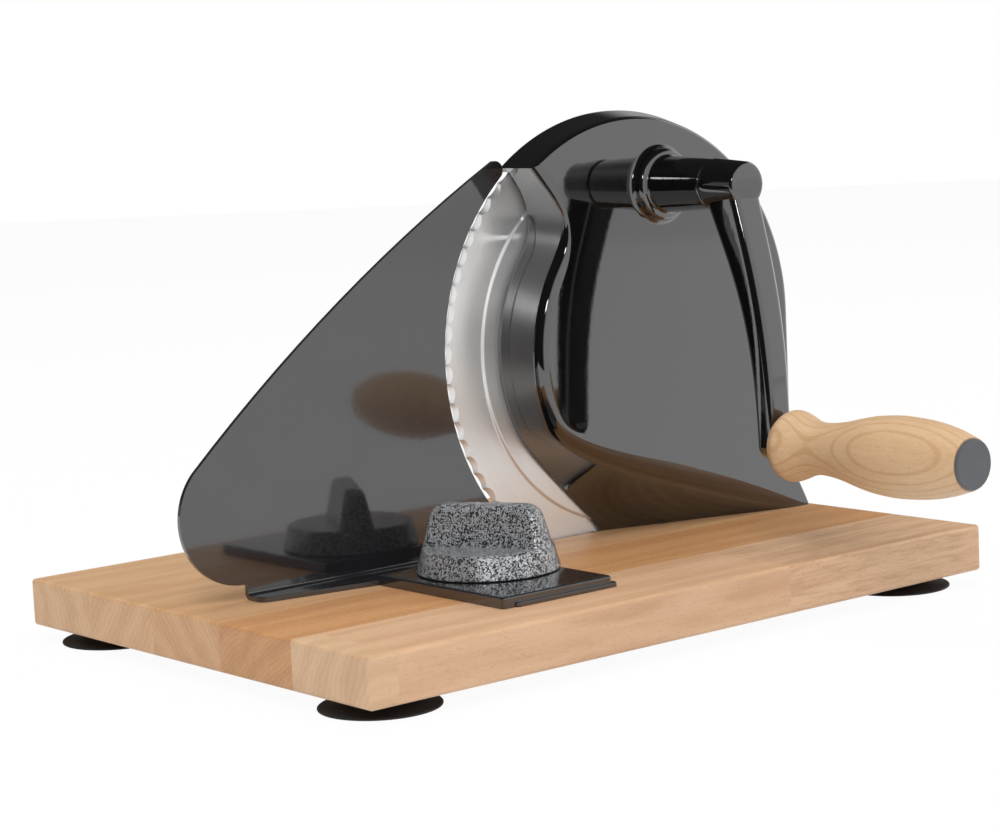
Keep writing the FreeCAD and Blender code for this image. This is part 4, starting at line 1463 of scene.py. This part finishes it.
@dataclass
class Knob:
    """The hammer finished clamp knob: a conical skirt and a wing whose ends follow the cone."""

    x: float
    y: float
    low: float = 31.4
    radius: float = 29.4
    top_radius: float = 22.6
    shoulder: float = 5.0
    skirt: float = 10.0
    skirt_edge: float = 1.2
    height: float = 27.0
    foot_width: float = 20.0
    top_width: float = 8.5
    corner: float = 2.5
    turn: float = -61.0

    def cone(self, height: float) -> float:
        """The cone's radius at a height over the knob's foot."""
        radius = self.radius + (self.top_radius - self.radius) * height / self.height
        over = max(0.0, height - (self.height - self.shoulder)) / self.shoulder
        return radius - self.shoulder * (1 - math.sqrt(max(0.0, 1 - over * over)))

    def width(self, height: float) -> float:
        """Half the wing's thickness at a height over the knob's foot."""
        half = (self.foot_width + (self.top_width - self.foot_width) * height / self.height) / 2
        over = max(0.0, height - (self.height - self.corner)) / self.corner
        return half - self.corner * (1 - math.sqrt(max(0.0, 1 - over * over)))

    def build(self, hammered: Material) -> None:
        """Build the skirt and the wing.

        Args:
            hammered: The knob's finish.
        """
        part = Part("clamp_knob_body", "knob", "hammered_grey", ("clamp_knob",))
        bm = part.bm
        centre = Vector((self.x, self.y, self.low)) * MM
        r, e, top = self.radius, self.skirt_edge, self.cone(self.skirt)
        s = Sketch((10.0, 3.0)).line((r - 4.5, 3.0), (r - 3.5, 0.0), (r - 0.6, 0.0))
        s.curve((r - 0.1, 0.0), (r, 0.2), (r - 0.1, 0.8))
        s.line((self.cone(self.skirt - e), self.skirt - e))
        s.curve((top, self.skirt - e * 0.3), (top - e * 0.4, self.skirt), (top - e, self.skirt))
        s.line((0.0, self.skirt + 0.4))
        turned(bm, s, Z_AXIS, centre, 6, 112)
        self.wing(bm, centre)
        part.done(hammered, sharp=42)

    def wing(self, bm: BMesh, centre: Vector) -> None:
        """Add the wing, section over section.

        Args:
            bm: The mesh.
            centre: The knob's foot in metres.
        """
        per = 6
        around = []
        for corner, (sx, sy) in enumerate(((1, 1), (-1, 1), (-1, -1), (1, -1))):
            around += [(sx, sy, math.pi / 2 * (corner + k / per)) for k in range(per + 1)]
            if corner in (1, 3):
                side = 1 if corner == 1 else -1
                angle = math.pi if corner == 1 else 0.0
                around += [(sx, side * (1 - k / 4), angle) for k in range(1, 8)]
        spin = Matrix.Rotation(math.radians(self.turn), 3, "Z")

        def section(i: int, height: float) -> Vector:
            """A point of the wing's section at a height."""
            sx, sy, angle = around[i]
            long, half = self.cone(height) - 0.1, self.width(height)
            soft = min(self.corner, half - 0.3)
            v = sy * (half - soft) + soft * math.sin(angle)
            bow = long - math.sqrt(long * long - v * v)
            u = sx * (long - soft - bow) + soft * math.cos(angle)
            return centre + (spin @ Vector((u, v, height))) * MM

        low = self.skirt - 1.5
        rows = [low + (self.height - self.shoulder - low) * k / 6 for k in range(7)]
        turns = [math.pi / 2 * k / 14 for k in range(1, 15)]
        rows += [self.height - self.shoulder * (1 - math.sin(turn)) for turn in turns]
        ring = first = fresh_ring(bm, len(around))
        for i, v in enumerate(ring):
            v.co = section(i, rows[0])
        for height in rows[1:]:
            ring = drawn_out(bm, ring, lambda i, _: section(i, height))
        capped(bm, ring)
        capped(bm, first)


@dataclass
class Board:
    """The board's staves and its suction feet."""

    def build(self, rubber: Material) -> None:
        """Dress the staves and build the feet.

        Args:
            rubber: The feet's finish.
        """
        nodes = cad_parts
        tones = {
            "board_end_block": ((0.64, 0.43, 0.26), (0.52, 0.32, 0.18), 0.0, 0.5, 0.25),
            "board_front_stave": ((0.64, 0.41, 0.25), (0.50, 0.29, 0.16), 0.0, 0.3, 0.3),
            "board_front_stave_right": ((0.64, 0.42, 0.26), (0.50, 0.30, 0.17), 0.25, 0.3, 0.4),
            "board_second_stave": ((0.56, 0.30, 0.13), (0.44, 0.21, 0.085), 0.0, 1.4, 0.7),
            "board_middle_stave": ((0.61, 0.36, 0.19), (0.48, 0.26, 0.12), 0.0, -0.8, 0.35),
            "board_fourth_stave": ((0.64, 0.40, 0.22), (0.51, 0.29, 0.145), 0.0, 0.7, 0.3),
            "board_rear_stave": ((0.64, 0.41, 0.235), (0.51, 0.30, 0.155), 0.0, -0.5, 0.3),
        }
        for i, (name, (tone, shade, heart, lean, dash)) in enumerate(tones.items()):
            place = (0.31 * i, 0.07 * i, 0.013 * i)
            beech = Beech(name + "_beech", tone, shade, shift=place, heart=heart, lean=lean, dash=dash)
            dress(nodes[name], beech.material())
        for i in range(4):
            self.foot("foot_" + str(i + 1), rubber)

    def foot(self, node: str, rubber: Material) -> None:
        """Build one suction foot.

        Args:
            node: The frame's node that it stands for.
            rubber: Its finish.
        """
        low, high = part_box(node)
        centre = Vector(((low[0] + high[0]) / 2, (low[1] + high[1]) / 2, 0))
        s = Sketch((2.1, 3.4)).line((2.1, 6.5), (9.0, 6.5))
        s.curve((10.0, 3.8), (17.5, 1.6), (22.6, 1.0)).curve((23.3, 0.9), (23.6, 0.6), (23.6, 0.3))
        s.line((23.5, 0.0), (22.4, 0.0))
        s.curve((18.0, 0.6), (10.0, 1.8), (5.0, 3.4)).line((2.1, 3.4))
        part = Part(node + "_cup", "base", "foot_rubber", (node,))
        turned(part.bm, s, Z_AXIS, centre, 5, 64)
        part.done(rubber, sharp=40)


def middle(node: str) -> Vector:
    """The middle of a frame node's box, in metres."""
    low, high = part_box(node)
    return (Vector(low) + Vector(high)) / 2


def dress(node: Object, material: Material) -> None:
    """Put one finish on a frame node."""
    if not node.data.materials:
        node.data.materials.append(material)
    for slot in node.material_slots:
        slot.material = material


# The studio


@dataclass(frozen=True)
class Lamp:
    """A square soft box."""

    name: str
    place: Place
    target: Place
    size: float
    watts: float
    mirrored: bool = False

    def hang(self) -> None:
        """Hang the lamp and turn it to its target."""
        data = bpy.data.lights.new(self.name, "AREA")
        data.shape = "SQUARE"
        data.size = self.size
        data.energy = self.watts
        lamp = linked(self.name, data)
        lamp.visible_glossy = self.mirrored
        turn = (Vector(self.target) - Vector(self.place)).to_track_quat("-Z", "Y")
        lamp.matrix_world = Matrix.Translation(self.place) @ turn.to_matrix().to_4x4()


@dataclass
class Studio:
    """Floor, backdrop, lamps and the camera of the photograph."""

    lens: float = 94.263
    place: Place = (-0.70505, -0.82691, 0.22739)
    yaw: float = 0.678682
    pitch: float = -0.126947
    roll: float = -0.0492865
    ambient: float = 0.34
    dark: float = 0.02
    behind: float = 0.3
    floor_seen: float = 0.95
    floor_mirrored: float = 0.8

    def build(self) -> None:
        """Build the studio."""
        self.camera()
        self.floor()
        self.world()
        self.lamps()

    def camera(self) -> None:
        """Put the camera where the photograph was taken from."""
        ahead = Vector(
            (
                math.sin(self.yaw) * math.cos(self.pitch),
                math.cos(self.yaw) * math.cos(self.pitch),
                math.sin(self.pitch),
            )
        )
        level = Vector((math.cos(self.yaw), -math.sin(self.yaw), 0))
        up = level.cross(ahead)
        right = level * math.cos(self.roll) + up * math.sin(self.roll)
        above = up * math.cos(self.roll) - level * math.sin(self.roll)
        data = bpy.data.cameras.new("camera")
        data.lens = self.lens
        data.sensor_width = 36.0
        data.clip_end = 50
        camera = linked("camera", data)
        camera.matrix_world = Matrix(
            (
                (right.x, above.x, -ahead.x, self.place[0]),
                (right.y, above.y, -ahead.y, self.place[1]),
                (right.z, above.z, -ahead.z, self.place[2]),
                (0, 0, 0, 1),
            )
        )
        bpy.context.scene.camera = camera

    def floor(self) -> None:
        """Lay a white floor that keeps the slicer's shadow."""
        bm = bmesh.new()
        lay = Matrix.Translation((1.2, 1.2, 0)) @ Matrix.Rotation(-math.pi / 4, 4, "Z")
        stretch = Matrix.Diagonal((4.5, 2.2, 1.0, 1.0))
        bmesh.ops.create_grid(bm, x_segments=2, y_segments=2, size=1.0, matrix=lay @ stretch)
        mesh = bpy.data.meshes.new("floor")
        bm.to_mesh(mesh)
        bm.free()
        s = Shader("studio_white")
        s.finish(Base_Color=(0.82, 0.82, 0.82), Roughness=0.7, Specular_IOR_Level=0.2)
        glow = s.node("ShaderNodeEmission", None, {"Color": (1.0, 1.0, 1.0), "Strength": 1.0})
        path = s.node("ShaderNodeLightPath")
        seen = Value(s, path.outputs["Is Camera Ray"]) * self.floor_seen
        mirrored = Value(s, path.outputs["Is Glossy Ray"]) * self.floor_mirrored
        inputs = {0: seen + mirrored, 1: s.surface.outputs[0], 2: glow.outputs[0]}
        mixed = s.node("ShaderNodeMixShader", None, inputs)
        s.feed(s.output.inputs["Surface"], mixed.outputs[0])
        mesh.materials.append(s.material)
        linked("floor", mesh)

    def world(self) -> None:
        """Light the room softly: white to the camera, and in mirrors dark but low on the right."""
        world = bpy.data.worlds.new("studio")
        world.use_nodes = True
        tree = world.node_tree
        tree.nodes.clear()
        s = Shader.over(tree)
        x, y, z = s.axes(s.node("ShaderNodeTexCoord").outputs["Generated"])
        path = s.node("ShaderNodeLightPath")
        camera = Value(s, path.outputs["Is Camera Ray"])
        diffuse = Value(s, path.outputs["Is Diffuse Ray"])
        right = (x - y).above(0.1, 0.6) * z.above(0.70, 0.50)
        behind = (x + y).above(-0.6, -0.1) * z.above(0.22, 0.10)
        horizon = right + behind * (1 - right) * self.behind + self.dark
        strength = camera + (1 - camera) * (diffuse * self.ambient + (1 - diffuse) * horizon)
        back = s.node("ShaderNodeBackground", None, {"Color": (1.0, 1.0, 1.0), "Strength": strength})
        out = s.node("ShaderNodeOutputWorld")
        s.feed(out.inputs["Surface"], back.outputs[0])
        bpy.context.scene.world = world

    def lamps(self) -> None:
        """Hang the soft boxes, and one small lamp by the camera for the highlights."""
        for lamp in (
            Lamp("key", (-1.3, -1.1, 1.9), (0, 0, 0.08), 1.4, 34.0),
            Lamp("top", (0.1, 0.3, 2.0), (0, 0, 0), 1.8, 26.0),
            Lamp("right", (2.0, -0.9, 0.8), (0.05, 0, 0.1), 1.6, 22.0),
            Lamp("spark", (-1.25, -1.35, 0.85), (0, 0, 0.12), 0.22, 3.0, mirrored=True),
        ):
            lamp.hang()


def main() -> None:
    """Dress the frame, build the pieces and light them."""
    logging.basicConfig(level=logging.INFO, format="%(name)s: %(message)s")
    bpy.context.scene.view_settings.view_transform = "Standard"
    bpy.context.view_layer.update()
    disc = middle("blade")
    axis = (disc.x / MM, disc.z / MM)
    clamp = middle("clamp_knob") / MM
    gauge_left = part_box("gauge_plate")[0][0] / MM
    cover_low, cover_high = (Vector(corner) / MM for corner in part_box("gauge_tab_cover"))
    skirt = Gauge.skirt
    tab = (cover_low.x + skirt, cover_high.x - 2 * skirt, cover_low.y + 2 * skirt)
    enamel = Enamel("black_enamel").material()
    steel = TurnedSteel("turned_steel", (disc.x, 0.0, disc.z)).material()
    bright = Metal("bright_steel", (0.62, 0.62, 0.62)).material()
    iron = Metal("gear_iron", (0.22, 0.22, 0.23), 0.42).material()
    brass = Metal("bearing_brass", (0.72, 0.52, 0.24), 0.28).material()
    lacquer = Lacquer("grey_lacquer").material()
    hammered = Hammered("hammered_grey").material()
    rubber = Moulded("foot_rubber", (0.018, 0.018, 0.019), 0.5).material()
    plastic = Moulded("cap_plastic", (0.075, 0.078, 0.085), 0.38).material()
    turned_beech = Beech(
        "handle_beech",
        (0.66, 0.46, 0.28),
        (0.50, 0.31, 0.16),
        Figure.TURNED,
        shift=(disc.x, Handle.grain_y * MM, Handle.z * MM),
    ).material()
    plain = {
        "blade_wheel": iron,
        "crank_pinion": iron,
        "blade_bush": brass,
        "crank_inner_bush": brass,
        "crank_outer_bush": brass,
        "clamp_knob_nut": brass,
        "clamp_insert": brass,
        "blade_cap": steel,
    }
    for name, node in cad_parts.items():
        dress(node, plain.get(name, bright))
    Board().build(rubber)
    Housing(axis).build(enamel)
    CastingScrews(axis).build(bright)
    Blade(axis).build(steel)
    Crank(axis[0]).build(enamel)
    Handle(axis[0]).build(turned_beech, plastic)
    Gauge(axis, gauge_left, tab).build(lacquer)
    Knob(clamp.x, clamp.y).build(hammered)
    Studio().build()


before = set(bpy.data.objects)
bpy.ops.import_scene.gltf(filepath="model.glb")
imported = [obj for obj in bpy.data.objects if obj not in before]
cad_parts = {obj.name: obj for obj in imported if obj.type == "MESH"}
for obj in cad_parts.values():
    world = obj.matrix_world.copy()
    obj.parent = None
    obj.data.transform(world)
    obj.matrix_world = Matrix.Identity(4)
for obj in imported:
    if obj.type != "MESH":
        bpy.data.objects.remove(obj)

if __name__ == "__main__":
    main()
